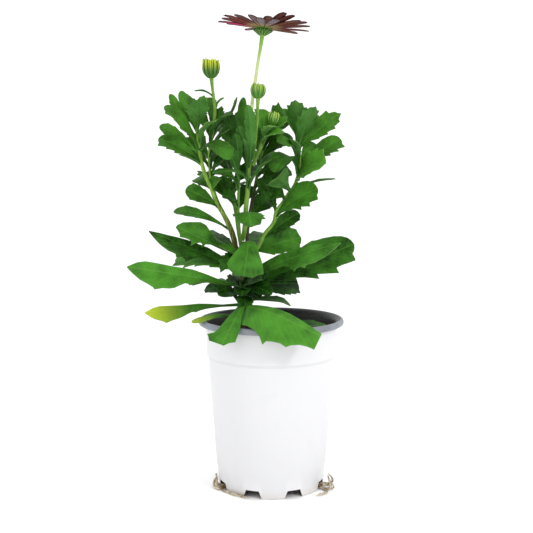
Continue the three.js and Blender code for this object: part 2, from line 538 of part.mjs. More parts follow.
const rightStem = {
  points: [
    [-17.2, 0.8, 165.5], [-15.4, 1.3, 169], [-12.6, 2, 174.5], [-9, 2, 180], [-5, 3, 188], [2, 4, 197],
    [4, 4, 205], [9, 4, 212], [12, 3, 217], [16, 3, 222], [19, 2, 229], [20.5, 2, 238],
    [20.5, 2, 247], [19.5, 2, 255], [19, 2, 263],
  ],
  radius: [1.8, 1.2],
  leaves: [
    { at: 2.2, tip: [22.3, 6, 185.2], width: 20, margin: 'broad', lift: 3, roll: 62 },
    { at: 5.6, tip: [34, -8, 222], width: 22, margin: 'saw', lift: 3, roll: 56, flip: true },
    { at: 5.9, tip: [-8, 7, 230], width: 13, margin: 'plain', lift: 3, roll: -50 },
    { at: 8.6, tip: [4, -16, 230], width: 18, margin: 'plain', lift: 3, roll: 45 },
    { at: 8.8, tip: [48, 10, 229], width: 6, margin: 'notched', lift: 2 },
    { at: 10, tip: [38.9, -20, 240.8], width: 25, margin: 'broad', lift: 4, roll: 50 },
    { at: 10.5, tip: [2, -24, 234], width: 18, margin: 'plain', lift: 12, roll: -10 },
    { at: 11, tip: [14, -8, 258], width: 11, margin: 'plain', lift: 1, roll: -20 },
    { at: 11.4, tip: [33, 10, 255], width: 11, margin: 'plain', lift: 2, roll: 40 },
    { at: 11.2, tip: [51.7, 8, 258.2], width: 14, margin: 'saw', lift: 1, roll: 55, flip: true },
    { at: 12.6, tip: [51, 2, 277], width: 16, lift: 2, roll: 60 },
    { at: 12.9, tip: [32, -13, 281], width: 15, lift: 2, roll: -10 },
    { at: 13.4, tip: [28, 12, 281], width: 9, margin: 'plain', lift: 1 },
    { at: 13.6, tip: [17, -9, 286], width: 14, lift: 2 },
    { at: 13.2, tip: [7, 5, 280], width: 12, margin: 'plain', lift: 3, roll: -30 },
    { at: 12.2, tip: [4, -11, 256], width: 12, margin: 'plain', lift: 3, roll: -40 },
    { at: 9.4, tip: [36, 26, 240], width: 13, margin: 'plain', lift: 4 },
    { at: 7.4, tip: [0.6, 4, 216.6], width: 13, margin: 'plain', lift: 5, roll: -50 },
    { at: 3.6, tip: [20.8, 10, 203.7], width: 12, margin: 'plain', lift: 3, roll: 60 },
    { at: 10.8, tip: [25.8, 8, 243.1], width: 14, margin: 'notched', lift: 2, roll: 40 },
    { at: 12.4, tip: [27.9, 8, 266.6], width: 14, margin: 'plain', lift: 2, roll: 40 },
  ],
};

const STEMS = {
  crown,
  leafy_stem_left: leftStem,
  leafy_stem_left_back: leftBackStem,
  leafy_stem_back: backStem,
  leafy_stem_inner: innerStem,
  leafy_stem_center: centreStem,
  leafy_stem_right_back: rightBackStem,
  leafy_stem_right: rightStem,
};

for (const [name, stem] of Object.entries(STEMS)) {
  addNode(name, leafyStem(stem), LEAF_GREEN);
}

// ---------------------------------------------------------------- flower
const headPlace = new THREE.Matrix4()
  .makeRotationFromEuler(new THREE.Euler(radians(HEAD_LEAN[0]), radians(HEAD_LEAN[1]), 0))
  .setPosition(...HEAD_AT);

// A narrow blade in the plane of one meridian: [radius, height, half width] from root to tip.
function meridianBlade(stations, angle) {
  const out = new THREE.Vector3(Math.cos(angle), Math.sin(angle), 0);
  const across = new THREE.Vector3(Math.sin(angle), -Math.cos(angle), 0);
  const centres = stations.map(
    ([radius, height]) => out.clone().multiplyScalar(radius).setZ(height),
  );
  const normals = centres.map((centre, i) => {
    const before = centres[Math.max(i - 1, 0)];
    const after = centres[Math.min(i + 1, centres.length - 1)];
    return new THREE.Vector3().crossVectors(across, after.clone().sub(before)).normalize();
  });
  const rows = centres.map((centre, i) => [1, -1].map(
    (direction) => centre.clone().addScaledVector(across, direction * stations[i][2]),
  ));
  return thicken(rows, normals, stations.map(() => BLADE));
}

// The head in its own frame: calyx cup from 0 to 4.6 mm, rays and disc above it.
const CALYX_TOP = 4.6;
const BRACT_COUNT = 12;

function calyx() {
  const outline = [[0, 0], [1.4, 0], [3.3, 1.5], [5, 3.2], [5.6, CALYX_TOP], [0, CALYX_TOP]];
  const cup = turned(outline, BRACT_COUNT);
  const bracts = Array.from({ length: BRACT_COUNT }, (_, i) => meridianBlade(
    [[3.4, 2, 0.9], [5.9, 3.6, 1.2], [7.6, 4.1, 0.2]],
    2 * Math.PI * i / BRACT_COUNT,
  ));
  return [cup, ...bracts].map((geometry) => geometry.applyMatrix4(headPlace));
}

const flowerStalk = [
  [-15, -5, 250.35], [-15, -5, 262], [-14.5, -5, 272], [-14, -4.5, 283], [-12.5, -4, 295],
  [-10.8, -4, 305], [-9.5, -4, 314], [-7.9, -4, 323], [-6.6, -4, 332.2],
];
addNode('flower_stalk', fuse([rod(flowerStalk, [1.3, 1.2], 6, 9), ...calyx()]), YOUNG_GREEN);

// Ray florets, each as [degrees round from the front to the right, degrees of rise, radius
// of the tip]. The front ones stand closer together.
const RAYS = [
  [-155, 8, 31], [-138, 14, 31], [-121, 9.5, 31.5], [-105, 7.6, 33], [-88, 3.4, 32.5],
  [-72, 6, 31], [-57, 6, 33], [-38, 5.6, 32], [-17, 5.6, 31], [-4, 2, 31],
  [8, 5.4, 31.5], [21, 3.8, 29.5], [29, 14, 32], [41, 12.6, 33], [52, 8.2, 33],
  [66, 8.6, 34.2], [85, 8.8, 34], [105, 6.4, 34.6], [127, 6.2, 31.5], [147, 14, 31],
  [167, 12.5, 31], [186, 14, 31],
];

function rays() {
  const rim = [[0, 4.95], [5.2, 4.95], [5.8, 5.6], [5.2, 6.3], [0, 6.3]];
  const receptacle = turned(rim, RAYS.length);
  const petals = RAYS.map(([azimuth, rise, tipRadius]) => {
    const length = tipRadius - RAY_ROOT;
    const station = (share, half, droop) => [
      RAY_ROOT + length * share * Math.cos(radians(rise)),
      5.4 + length * share * Math.sin(radians(rise)) - droop,
      half * RAY_WIDTH / 2,
    ];
    return meridianBlade([
      station(0, 0.26, 0), station(0.3, 0.72, -0.3), station(0.65, 1, -0.5),
      station(0.9, 0.8, 0), station(1, 0.35, 0.4),
    ], radians(azimuth - 90));
  });
  return fuse([receptacle, ...petals]);
}

const head = new THREE.Group();
head.applyMatrix4(headPlace);
plant.add(head);
head.add(addNode('flower_rays', rays(), '#5a2f3a', 0.6));

// The disc is a low dome, and its tiny florets stand up from it in turns of a ring.
function disc() {
  const profile = [
    [0, 6.65], [DISC_RADIUS, 6.65], [5.3, 7.6], [4.6, 8.5], [3.7, 9.2], [2.7, 9.7], [1.5, 10], [0, 10.1],
  ];
  const spokes = 20;
  const dome = turned(profile, spokes);
  const { position } = dome.attributes;
  for (let spoke = 0; spoke <= spokes; spoke += 1) {
    for (let ring = 2; ring < profile.length - 1; ring += 1) {
      const vertex = spoke * profile.length + ring;
      const floret = (spoke + ring) % 2 === 0;
      if (floret) position.setZ(vertex, position.getZ(vertex) + 0.9);
    }
  }
  return dome;
}
head.add(addNode('flower_disc', disc(), '#3a2346', 0.7));

// ---------------------------------------------------------------- buds
// A bud: overlapping bracts stand round a closed core, their tips free.
function budParts(radius, height, at, tiltY, bracts) {
  const core = turned([
    [0, 0], [0.3 * radius, 0], [0.68 * radius, 0.12 * height], [0.9 * radius, 0.34 * height],
    [0.84 * radius, 0.6 * height], [0.5 * radius, 0.8 * height], [0, 0.86 * height],
  ], 8);
  const half = 0.78 * Math.PI * radius / bracts;
  const blades = Array.from({ length: bracts }, (_, i) => meridianBlade([
    [0.5 * radius, 0.1 * height, 0.6 * half],
    [0.93 * radius, 0.36 * height, half],
    [0.93 * radius, 0.66 * height, 0.8 * half],
    [(0.84 + 0.1 * draw(i + 7)) * radius, (0.92 + 0.1 * draw(i + 3)) * height, 0.2 * half],
  ], 2 * Math.PI * (i + 0.5) / bracts));
  const place = new THREE.Matrix4().makeRotationY(radians(tiltY)).setPosition(...at);
  return [core, ...blades].map((geometry) => geometry.applyMatrix4(place));
}

const BUDS = {
  bud_left: {
    stalk: [[-42, 8, 272.35], [-41.6, 6.5, 280], [-42.2, 5, 288], [-43.2, 4, 296], [-43.8, 3, 303.4]],
    radius: [1.3, 1.2],
    bud: { radius: 5.9, height: 13.4, at: [-43.8, 3, 303], tilt: -2, bracts: 8 },
    leaves: [
      { at: 2.2, tip: [-56, 0, 293], width: 3, margin: 'plain', lift: 2 },
      { at: 1.2, tip: [-35, 12, 289], width: 3, margin: 'plain', lift: 1 },
    ],
  },
  bud_center: {
    stalk: [[-13.3, -6.8, 243], [-12.5, -8.5, 250], [-11.2, -11, 260], [-10.2, -13, 272],
      [-9.8, -13.5, 281], [-9.6, -13.5, 287.6]],
    radius: [1.1, 1.2],
    bud: { radius: 4.9, height: 9.9, at: [-9.6, -13.5, 287.2], tilt: 1, bracts: 8 },
    leaves: [],
  },
  bud_right: {
    stalk: [[-13.4, -3.1, 239], [-12, -3, 243], [-8, -4, 252], [-3.5, -6, 262], [0.5, -7.5, 269]],
    radius: [1.6, 1.5],
    bud: { radius: 4, height: 9, at: [0.5, -7.5, 268.6], tilt: 12, bracts: 7 },
    leaves: [
      { at: 3, tip: [5, 0, 285], width: 12, margin: 'notched', lift: -6, roll: 10 },
      { at: 2.6, tip: [-7, 1, 280], width: 11, margin: 'plain', lift: 1 },
      { at: 2.5, tip: [12, -4, 274], width: 11, margin: 'plain', lift: 2, roll: 45 },
      { at: 2.2, tip: [9, -17, 262], width: 12, margin: 'notched', lift: 4, roll: 30 },
      { at: 2.4, tip: [1.9, -17, 267], width: 10, margin: 'toothed', lift: 2 },
    ],
  },
};

for (const [name, { stalk, radius, bud, leaves }] of Object.entries(BUDS)) {
  addNode(name, fuse([
    rod(stalk, radius, 6, 6),
    ...budParts(bud.radius, bud.height, bud.at, bud.tilt, bud.bracts),
    ...leaves.map((spec, i) => leaf(stalk, spec, i % 2 === 1)),
  ]), YOUNG_GREEN);
}

// ---------------------------------------------------------------- roots
// Thin roots that have grown out of two drainage notches and lie in a tangle outside.
const ROOT_RADIUS = 0.55;
const ROOTS = {
  roots_left: {
    knot: [-33.9, -15.4, 2.75],
    strands: [
      [[-33, -15, 2.2], [-37, -17, 1.6], [-39.4, -18, 2.2], [-40.6, -14.5, 4.5], [-41, -11, 7],
        [-41, -8, 9]],
      [[-33, -15, 2.6], [-37.4, -15.5, 3], [-40.2, -14.5, 4], [-41.4, -9.5, 3.6], [-41.6, -5.5, 1.6]],
      [[-33, -15, 1.9], [-38, -19, 1.1], [-40.5, -18.5, 1.2], [-42.4, -13, 2.6], [-41.8, -9.8, 5],
        [-41.2, -11.5, 7.4]],
      [[-33, -16, 1.6], [-36.3, -19.5, 1], [-32, -26, 0.95], [-26, -32, 0.95], [-20.5, -36, 0.95],
        [-15.5, -38.5, 0.95]],
    ],
  },
  roots_right: {
    knot: [34.7, -13, 2.75],
    strands: [
      [[34, -13, 2.2], [38.4, -14.5, 2], [43, -15, 3.5], [45.8, -14.5, 5.5], [45.2, -12, 7.6],
        [42.5, -10, 9.6]],
      [[34, -13, 2.6], [39, -12.5, 3.2], [44, -13, 3], [46, -16, 3], [45.5, -19, 1.2], [43, -20, 1]],
      [[34, -13, 1.9], [38.5, -16.5, 1.2], [42, -20.5, 1.1], [44, -18, 3.6], [43.5, -14.5, 6.5],
        [42, -13.5, 8.2]],
      [[34, -14, 1.6], [38.5, -18.5, 1], [41, -24, 0.95], [39.5, -29, 0.95], [36, -32.5, 0.95],
        [32.5, -34, 0.95]],
    ],
  },
};

for (const [name, { knot, strands }] of Object.entries(ROOTS)) {
  const ball = new THREE.IcosahedronGeometry(2, 0).scale(1.2, 1, 0.6).translate(...knot);
  const threads = strands.map((points) => rod(points, [0.75, ROOT_RADIUS], 3, 7));
  addNode(name, fuse([ball, ...threads]), '#b8a98a', 0.9);
}

export default plant;
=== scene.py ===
import math
from collections import namedtuple

import bpy
from mathutils import Matrix, Vector, noise


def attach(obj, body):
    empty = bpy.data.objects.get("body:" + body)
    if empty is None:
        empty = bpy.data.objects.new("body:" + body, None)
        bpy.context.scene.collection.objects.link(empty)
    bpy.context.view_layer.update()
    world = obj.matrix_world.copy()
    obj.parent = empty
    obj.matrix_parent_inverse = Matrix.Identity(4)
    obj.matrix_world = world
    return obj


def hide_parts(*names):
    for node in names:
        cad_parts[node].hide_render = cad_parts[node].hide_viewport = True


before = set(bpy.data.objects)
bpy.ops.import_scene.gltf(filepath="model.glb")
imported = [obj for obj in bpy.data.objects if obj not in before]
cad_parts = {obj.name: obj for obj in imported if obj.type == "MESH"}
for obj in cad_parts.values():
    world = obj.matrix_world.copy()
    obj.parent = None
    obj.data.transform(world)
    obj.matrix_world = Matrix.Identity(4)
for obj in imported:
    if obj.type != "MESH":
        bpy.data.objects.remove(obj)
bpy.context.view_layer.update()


# ------------ studio
# A white paper floor in a white surround, lit by a soft box from the upper right and a wider,
# weaker one from the left, so shadows stay faint.
def linear(code):
    shares = [int(code[i:i + 2], 16) / 255 for i in (1, 3, 5)]
    return (*[s / 12.92 if s <= 0.04045 else ((s + 0.055) / 1.055) ** 2.4 for s in shares], 1)


# A socket takes a number, a hex colour, another node's output, or a node for its first output.
def fill(material, socket, value):
    if isinstance(value, bpy.types.Node):
        value = value.outputs[0]
    if isinstance(value, bpy.types.NodeSocket):
        material.node_tree.links.new(value, socket)
    else:
        socket.default_value = linear(value) if isinstance(value, str) else value


# Plain values fill the sockets in their order, named ones the setting or socket of that name.
def add_node(material, kind, *values, **named):
    node = material.node_tree.nodes.new("ShaderNode" + kind)
    for socket, value in zip(node.inputs, values):
        fill(material, socket, value)
    for name, value in named.items():
        if hasattr(node, name):
            setattr(node, name, value)
        else:
            fill(material, node.inputs[name.replace("_", " ")], value)
    return node


def coat(material, **sockets):
    shader = material.node_tree.nodes["Principled BSDF"]
    for name, value in sockets.items():
        fill(material, shader.inputs[name.replace("_", " ")], value)
    return material


def new_material(name, **sockets):
    material = bpy.data.materials.new(name)
    material.use_nodes = True
    return coat(material, **sockets)


scene = bpy.context.scene
scene.view_settings.view_transform = "Standard"
world = bpy.data.worlds.new("white_surround")
world.use_nodes = True
surround = world.node_tree.nodes["Background"]
surround.inputs["Color"].default_value = (1, 1, 1, 1)
surround.inputs["Strength"].default_value = 1.16
scene.world = world

bpy.ops.object.select_all(action="DESELECT")
bpy.ops.mesh.primitive_plane_add(size=12, location=(0, 0, -0.0003))
floor = bpy.context.object
floor.name = "paper_floor"
# Uncoated paper, matt, with a grain that is barely seen.
paper = new_material("matt_white_paper", Roughness=0.9, Specular_IOR_Level=0.1)
grain = add_node(paper, "TexNoise", Scale=900.0, Detail=2.0)
coat(paper, Base_Color=add_node(paper, "MixRGB", grain, "#fdfdfd", "#ffffff"))
floor.data.materials.append(paper)

AIM_HEIGHT = 0.17
for name, place, size, power in (
    ("soft_box_right", (0.95, -1.0, 0.95), 0.16, 5.6),
    ("soft_box_left", (-1.1, -0.9, 0.7), 0.9, 1.1),
):
    lamp = bpy.data.lights.new(name, "AREA")
    lamp.shape = "SQUARE"
    lamp.size = size
    lamp.energy = power
    holder = bpy.data.objects.new(name, lamp)
    scene.collection.objects.link(holder)
    holder.location = place
    aim = Vector((0, 0, AIM_HEIGHT)) - Vector(place)
    holder.rotation_euler = aim.to_track_quat("-Z", "Y").to_euler()

camera = bpy.data.objects.new("camera", bpy.data.cameras.new("camera"))
camera.data.lens = 64
camera.data.sensor_width = 36
camera.data.clip_start = 0.05
camera.location = (-0.0035, -0.7, 0.238)
camera.rotation_euler = (math.radians(84), 0, 0)
scene.collection.objects.link(camera)
scene.camera = camera

# ------------ pot
# A round grower's pot of 108 mm, thermoformed from polypropylene sheet that is white outside
# and black inside. Its rim is rolled outwards, and eight drainage notches are cut in its foot.
MM = 0.001
SHELL = [
    (0, 0), (23, 0), (25, 2.6), (35.4, 2.6), (36.6, 0), (38.9, 0), (39.35, 0.5), (40.35, 15.8),
    (40.95, 16.6), (47.2, 97.6), (47.35, 98.2), (48.0, 98.9), (48.12, 99.6), (48.8, 121),
    (49.2, 121.35), (52.7, 121.45), (53.6, 122), (54, 122.9), (54, 124.2), (53.7, 125.2),
    (53.2, 125.7), (52.6, 126), (51.9, 126), (51.2, 125.9), (50.2, 125.4), (48.9, 124.6),
    (47.9, 121.9), (46.9, 98.8), (46.1, 98.2), (38, 4), (24.4, 4), (22.4, 1.4), (0, 1.4),
]
RIM_FOOT, RIM_CREST_RADIUS = 121.3, 51.9
FOOT_HEIGHT, FOOT_INNER_RADIUS = 5.5, 38.3
NOTCHES = 8
NOTCH_SIZE = (15, 13, 6.6)
NOTCH_TOP_WIDTH = 10
NOTCH_PLACE = (0, -39.2, 2.3)
NOTCH_TURN = 2


def pick(*pieces):
    bpy.ops.object.select_all(action="DESELECT")
    for piece in pieces:
        piece.select_set(True)
    if pieces:
        bpy.context.view_layer.objects.active = pieces[0]


# A turned piece: its profile of (radius, height) in mm is drawn out and spun about Z.
def turn(name, profile, steps):
    pick()
    bpy.ops.mesh.primitive_plane_add(size=MM)
    piece = bpy.context.object
    piece.name = name
    bpy.ops.object.mode_set(mode="EDIT")
    bpy.ops.mesh.merge(type="CENTER")
    bpy.ops.transform.translate(value=(profile[0][0] * MM, 0, profile[0][1] * MM))
    for (radius, height), (next_radius, next_height) in zip(profile, profile[1:]):
        step = ((next_radius - radius) * MM, 0, (next_height - height) * MM)
        bpy.ops.mesh.extrude_region_move(TRANSFORM_OT_translate={"value": step})
    bpy.ops.mesh.select_all(action="SELECT")
    bpy.ops.mesh.spin(steps=steps, angle=2 * math.pi, center=(0, 0, 0), axis=(0, 0, 1))
    bpy.ops.mesh.select_all(action="SELECT")
    bpy.ops.mesh.remove_doubles(threshold=1e-5)
    bpy.ops.mesh.normals_make_consistent(inside=False)
    bpy.ops.object.mode_set(mode="OBJECT")
    return piece


def smooth(piece, degrees):
    pick(piece)
    bpy.ops.object.shade_smooth_by_angle(angle=math.radians(degrees))


def add_copy(name, mesh):
    piece = bpy.data.objects.new(name, mesh.copy())
    scene.collection.objects.link(piece)
    return piece


def gather(name, parts, degrees):
    pick(*parts)
    bpy.ops.object.join()
    piece = bpy.context.object
    piece.name = name
    smooth(piece, degrees)
    return piece


pot = turn("pot_shell", SHELL, 160)
pick()
bpy.ops.mesh.primitive_cube_add(size=1, location=(0, 0, 0))
notch = bpy.context.object
bpy.ops.object.mode_set(mode="EDIT")
bpy.ops.transform.resize(value=[side * MM for side in NOTCH_SIZE])
bpy.ops.transform.translate(value=[place * MM for place in NOTCH_PLACE])
bpy.ops.object.mode_set(mode="OBJECT")
for vertex in notch.data.vertices:
    if vertex.co.z > 0:
        vertex.co.x *= NOTCH_TOP_WIDTH / NOTCH_SIZE[0]
cutters = [add_copy("cutter", notch.data) for number in range(NOTCHES)]
for number, cutter in enumerate(cutters):
    angle = math.radians((number + 0.5) * 360 / NOTCHES + NOTCH_TURN)
    cutter.data.transform(Matrix.Rotation(angle, 4, "Z"))
pick(*cutters)
bpy.ops.object.join()
pick(pot)
cut = pot.modifiers.new("notches", "BOOLEAN")
cut.operation = "DIFFERENCE"
cut.solver = "EXACT"
cut.object = cutters[0]
bpy.ops.object.modifier_apply(modifier="notches")
for tool in (notch, cutters[0]):
    bpy.data.objects.remove(tool)

# Polypropylene sheet, satin: slow waves from forming give its white wall a soft sheen. It is
# a little scuffed, and soiled at the foot, and painted shade draws a grey line at its step (98 mm).
white = new_material("white_polypropylene", Roughness=0.34, IOR=1.49, Specular_IOR_Level=0.4)
where = add_node(white, "TexCoord").outputs["Object"]
height = add_node(white, "SeparateXYZ", where).outputs["Z"]
scuff = add_node(white, "TexNoise", Vector=where, Scale=55.0, Detail=4.0, Roughness=0.6)
scuffed = add_node(white, "MapRange", scuff, 0.58, 0.8, 0.0, 0.35)
wall_tint = add_node(white, "MixRGB", scuffed, "#dadadc", "#d2d2d4")
soiled = add_node(white, "MapRange", height, 0.0, 0.006, 0.5, 0.0)
foot_tint = add_node(white, "MixRGB", soiled, wall_tint, "#d5cfc4")
# Painted shade: a narrow band round the step in the wall is tinted grey.
step_shade_mask = add_node(white, "Math", height, 0.0982, 0.0012, operation="COMPARE")
step_shade_share = add_node(white, "Math", step_shade_mask, 0.24, operation="MULTIPLY")
step_shade_tint = add_node(white, "MixRGB", step_shade_share, foot_tint, "#b9bbbf")
waves = add_node(white, "TexNoise", Vector=where, Scale=38.0, Detail=1.0)
wave_bump = add_node(white, "Bump", Height=waves, Strength=0.12, Distance=0.002)
coat(white, Base_Color=step_shade_tint, Normal=wave_bump)


# A finish that wanders between two tones in soft patches.
def mottled(name, scale, dark, light, detail=2.0, **sockets):
    material = new_material(name, **sockets)
    where = add_node(material, "TexCoord").outputs["Object"]
    patch = add_node(material, "TexNoise", Vector=where, Scale=scale, Detail=detail)
    return coat(material, Base_Color=add_node(material, "MixRGB", patch, dark, light))


# The rolled rim, where the sheet is drawn thin and its black inner layer greys the white.
rim = mottled(
    "rolled_rim_polypropylene", 120.0, "#5d636b", "#8d939b", 3.0, Roughness=0.4, IOR=1.49,
)

# The black layer inside, with splashes of peat that dried on it and brown wet peat at its foot.
black = new_material("black_polypropylene", Roughness=0.45, IOR=1.49)
where = add_node(black, "TexCoord").outputs["Object"]
splash = add_node(black, "TexVoronoi", Vector=where, Scale=520.0)
splashed = add_node(black, "MapRange", splash, 0.12, 0.3, 0.75, 0.0)
black_tint = add_node(black, "MixRGB", splashed, "#14171d", "#5e3a28")
level = add_node(black, "SeparateXYZ", where).outputs["Z"]
wet = add_node(black, "MapRange", level, 0.004, 0.007, 0.85, 0.0)
coat(black, Base_Color=add_node(black, "MixRGB", wet, black_tint, "#3a1c12"))

for finish in (white, rim, black):
    pot.data.materials.append(finish)
for face in pot.data.polygons:
    outward = face.normal.x * face.center.x + face.normal.y * face.center.y
    top = face.center.z / MM
    out = math.hypot(face.center.x, face.center.y) / MM
    wall_inside = top > 3 and outward < -1e-4
    floor_inside = 1.3 < top < 4.2 and face.normal.z > 0.9
    foot_inside = 0.3 < top < FOOT_HEIGHT and out < FOOT_INNER_RADIUS
    if top > RIM_FOOT and out > RIM_CREST_RADIUS:
        face.material_index = 1
    elif top > RIM_FOOT or wall_inside or floor_inside or foot_inside:
        face.material_index = 2
smooth(pot, 40)
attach(pot, "root")
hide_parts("pot")

# ------------ potting mix
# Peat and composted bark, pressed into the pot to 9 mm under the rim. Coarse bits of bark
# lie loose on its lumpy top.
MIX = [
    (0, 1.75), (22, 1.75), (24, 4.35), (37.5, 4.35), (45.6, 98), (46.6, 115.6), (44.5, 116.8),
    (41, 117), (37, 116.8), (33, 116.6), (28, 117), (24, 117.3), (19, 117.2), (14, 117),
    (9, 117.1), (4.6, 117.2), (0, 117.2),
]
MIX_TOP = 117
MIX_REACH = 47.5
LUMP_HEIGHT, CLOD_HEIGHT = 1.1, 0.9
LUMPS_PER_MM, CLODS_PER_MM = 0.16, 0.5
CRUMBS = 420
CRUMB_SPREAD = 44.5


def draw(number):
    value = math.sin(number * 12.9898) * 43758.5453
    return value - math.floor(value)


mix = turn("mix", MIX, 72)
for vertex in mix.data.vertices:
    if vertex.co.z > (MIX_TOP - 2) * MM:
        place = vertex.co / MM
        lump = noise.noise(place * LUMPS_PER_MM) * LUMP_HEIGHT
        clod = noise.noise(place * CLODS_PER_MM) * CLOD_HEIGHT
        reach = min(1, (MIX_REACH - math.hypot(place.x, place.y)) / 4)
        vertex.co.z += (lump + clod) * reach * MM

pick()
bpy.ops.mesh.primitive_ico_sphere_add(subdivisions=1, radius=1)
crumb_blank = bpy.context.object
for vertex in crumb_blank.data.vertices:
    vertex.co *= 1 + 0.45 * noise.noise(vertex.co * 1.7)
crumbs = []
for i in range(CRUMBS):
    spread = CRUMB_SPREAD * math.sqrt(draw(i + 0.1))
    turned = 2 * math.pi * draw(i + 0.2)
    size = (0.5 + 1.5 * draw(i + 0.3) ** 3) * MM
    crumb = add_copy("crumb", crumb_blank.data)
    shape = Matrix.Diagonal((
        size * (1 + 1.2 * draw(i + 0.4)), size, size * (0.45 + 0.4 * draw(i + 0.5)), 1,
    ))
    spin = Matrix.Rotation(2 * math.pi * draw(i + 0.6), 4, "Z")
    tip = Matrix.Rotation(0.9 * (draw(i + 0.7) - 0.5), 4, "X")
    place = Vector((spread * math.cos(turned), spread * math.sin(turned), MIX_TOP)) * MM
    lift = noise.noise(place / MM * LUMPS_PER_MM) * LUMP_HEIGHT * MM
    crumb.data.transform(Matrix.Translation(place + Vector((0, 0, lift))) @ spin @ tip @ shape)
    hue = crumb.data.attributes.new("crumb_hue", "FLOAT", "POINT")
    hue.data.foreach_set("value", [0.25 + 0.75 * draw(i + 0.8)] * len(crumb.data.vertices))
    crumbs.append(crumb)
bpy.data.objects.remove(crumb_blank)
mix = gather("potting_mix_body", [mix, *crumbs], 60)

# Damp peat, nearly black and matt, with rust-brown bark crumbs.
peat = new_material("damp_peat_and_bark", Roughness=0.92, Specular_IOR_Level=0.15)
where = add_node(peat, "TexCoord").outputs["Object"]
grit = add_node(peat, "TexNoise", Vector=where, Scale=700.0, Detail=5.0, Roughness=0.7)
clods = add_node(peat, "TexVoronoi", Vector=where, Scale=420.0)
hue = add_node(peat, "Attribute", attribute_name="crumb_hue").outputs["Fac"]
peat_tint = add_node(peat, "MixRGB", grit, "#120a07", "#35201a")
bark_share = add_node(peat, "MapRange", hue, 0.3, 1.0, 0.0, 0.75)
bark_tint = add_node(peat, "MixRGB", bark_share, peat_tint, "#6b3d22")
grit_bump = add_node(peat, "Bump", Height=grit, Strength=0.7, Distance=0.0012)
clod_bump = add_node(
    peat, "Bump", Height=clods, Strength=0.6, Distance=0.0015, Normal=grit_bump,
)
coat(peat, Base_Color=bark_tint, Normal=clod_bump)
mix.data.materials.append(peat)
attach(mix, "root")
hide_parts("potting_mix")

# ------------ roots
# Pale brittle feeding roots that grew out of two drainage notches and lie matted on the
# ground outside, a few thick ones with many thread-thin ones round them.
ROOTS = {
    "roots_left": [
        [(-33, -15, 2.2), (-37, -17, 1.6), (-39.4, -18, 2.2), (-40.6, -14.5, 4.5), (-41, -11, 7),
         (-41, -8, 9)],
        [(-33, -15, 2.6), (-37.4, -15.5, 3), (-40.2, -14.5, 4), (-41.4, -9.5, 3.6),
         (-41.6, -5.5, 1.6)],
        [(-33, -15, 1.9), (-38, -19, 1.1), (-40.5, -18.5, 1.2), (-42.4, -13, 2.6),
         (-41.8, -9.8, 5), (-41.2, -11.5, 7.4)],
        [(-33, -16, 1.6), (-36.3, -19.5, 1), (-32, -26, 0.95), (-26, -32, 0.95),
         (-20.5, -36, 0.95), (-15.5, -38.5, 0.95)],
    ],
    "roots_right": [
        [(34, -13, 2.2), (38.4, -14.5, 2), (43, -15, 3.5), (45.8, -14.5, 5.5), (45.2, -12, 7.6),
         (42.5, -10, 9.6)],
        [(34, -13, 2.6), (39, -12.5, 3.2), (44, -13, 3), (46, -16, 3), (45.5, -19, 1.2),
         (43, -20, 1)],
        [(34, -13, 1.9), (38.5, -16.5, 1.2), (42, -20.5, 1.1), (44, -18, 3.6),
         (43.5, -14.5, 6.5), (42, -13.5, 8.2)],
        [(34, -14, 1.6), (38.5, -18.5, 1), (41, -24, 0.95), (39.5, -29, 0.95),
         (36, -32.5, 0.95), (32.5, -34, 0.95)],
    ],
}
THREADS_PER_ROOT = 7
THREAD_STRAY = 2.2
ROOT_RADIUS, THREAD_RADIUS = 0.6, 0.14
GROUND_CLEARANCE = 0.6


def rod(points, radii, finish, sides=2, steps=4):
    curve = bpy.data.curves.new("rod", "CURVE")
    curve.dimensions = "3D"
    curve.bevel_depth = MM
    curve.bevel_resolution = sides
    curve.resolution_u = steps
    curve.use_fill_caps = True
    spline = curve.splines.new("BEZIER")
    spline.bezier_points.add(len(points) - 1)
    for knot, place, radius in zip(spline.bezier_points, points, radii):
        knot.co = Vector(place) * MM
        knot.radius = radius
        knot.handle_left_type = knot.handle_right_type = "AUTO"
    piece = bpy.data.objects.new("rod", curve)
    scene.collection.objects.link(piece)
    pick(piece)
    bpy.ops.object.convert(target="MESH")
    piece.data.materials.append(finish)
    return piece


# Dry root skin, straw to grey-brown, dull, browner where older.
root_skin = new_material("dry_root_skin", Roughness=0.8, Specular_IOR_Level=0.2)
where = add_node(root_skin, "TexCoord").outputs["Object"]
patches = add_node(root_skin, "TexNoise", Vector=where, Scale=260.0, Detail=4.0)
patch_share = add_node(root_skin, "MapRange", patches, 0.35, 0.65)
coat(root_skin, Base_Color=add_node(root_skin, "MixRGB", patch_share, "#6b5238", "#d8cbb0"))

for seed, (node, strands) in zip((10, 60), ROOTS.items()):
    threads = []
    for number, strand in enumerate(strands):
        radii = [ROOT_RADIUS - 0.3 * k / (len(strand) - 1) for k in range(len(strand))]
        threads.append(rod(strand, radii, root_skin))
        for thread in range(THREADS_PER_ROOT):
            base = seed + 13 * number + 1.7 * thread
            places = []
            for k, place in enumerate(strand):
                stray = [THREAD_STRAY * (draw(base + 0.31 * k + axis) - 0.5)
                         for axis in (0.1, 0.2, 0.3)]
                reach = min(1, 0.3 + 0.35 * k)
                low = max(GROUND_CLEARANCE, place[2] + stray[2] * reach)
                places.append((place[0] + stray[0] * reach, place[1] + stray[1] * reach, low))
            stop = 3 + int(draw(base + 5) * (len(strand) - 2))
            thin = THREAD_RADIUS + 0.12 * draw(base + 6)
            threads.append(rod(places[:stop], [thin] * stop, root_skin, sides=1))
    roots = gather(node + "_mat", threads, 60)
    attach(roots, "root")
    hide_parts(node)

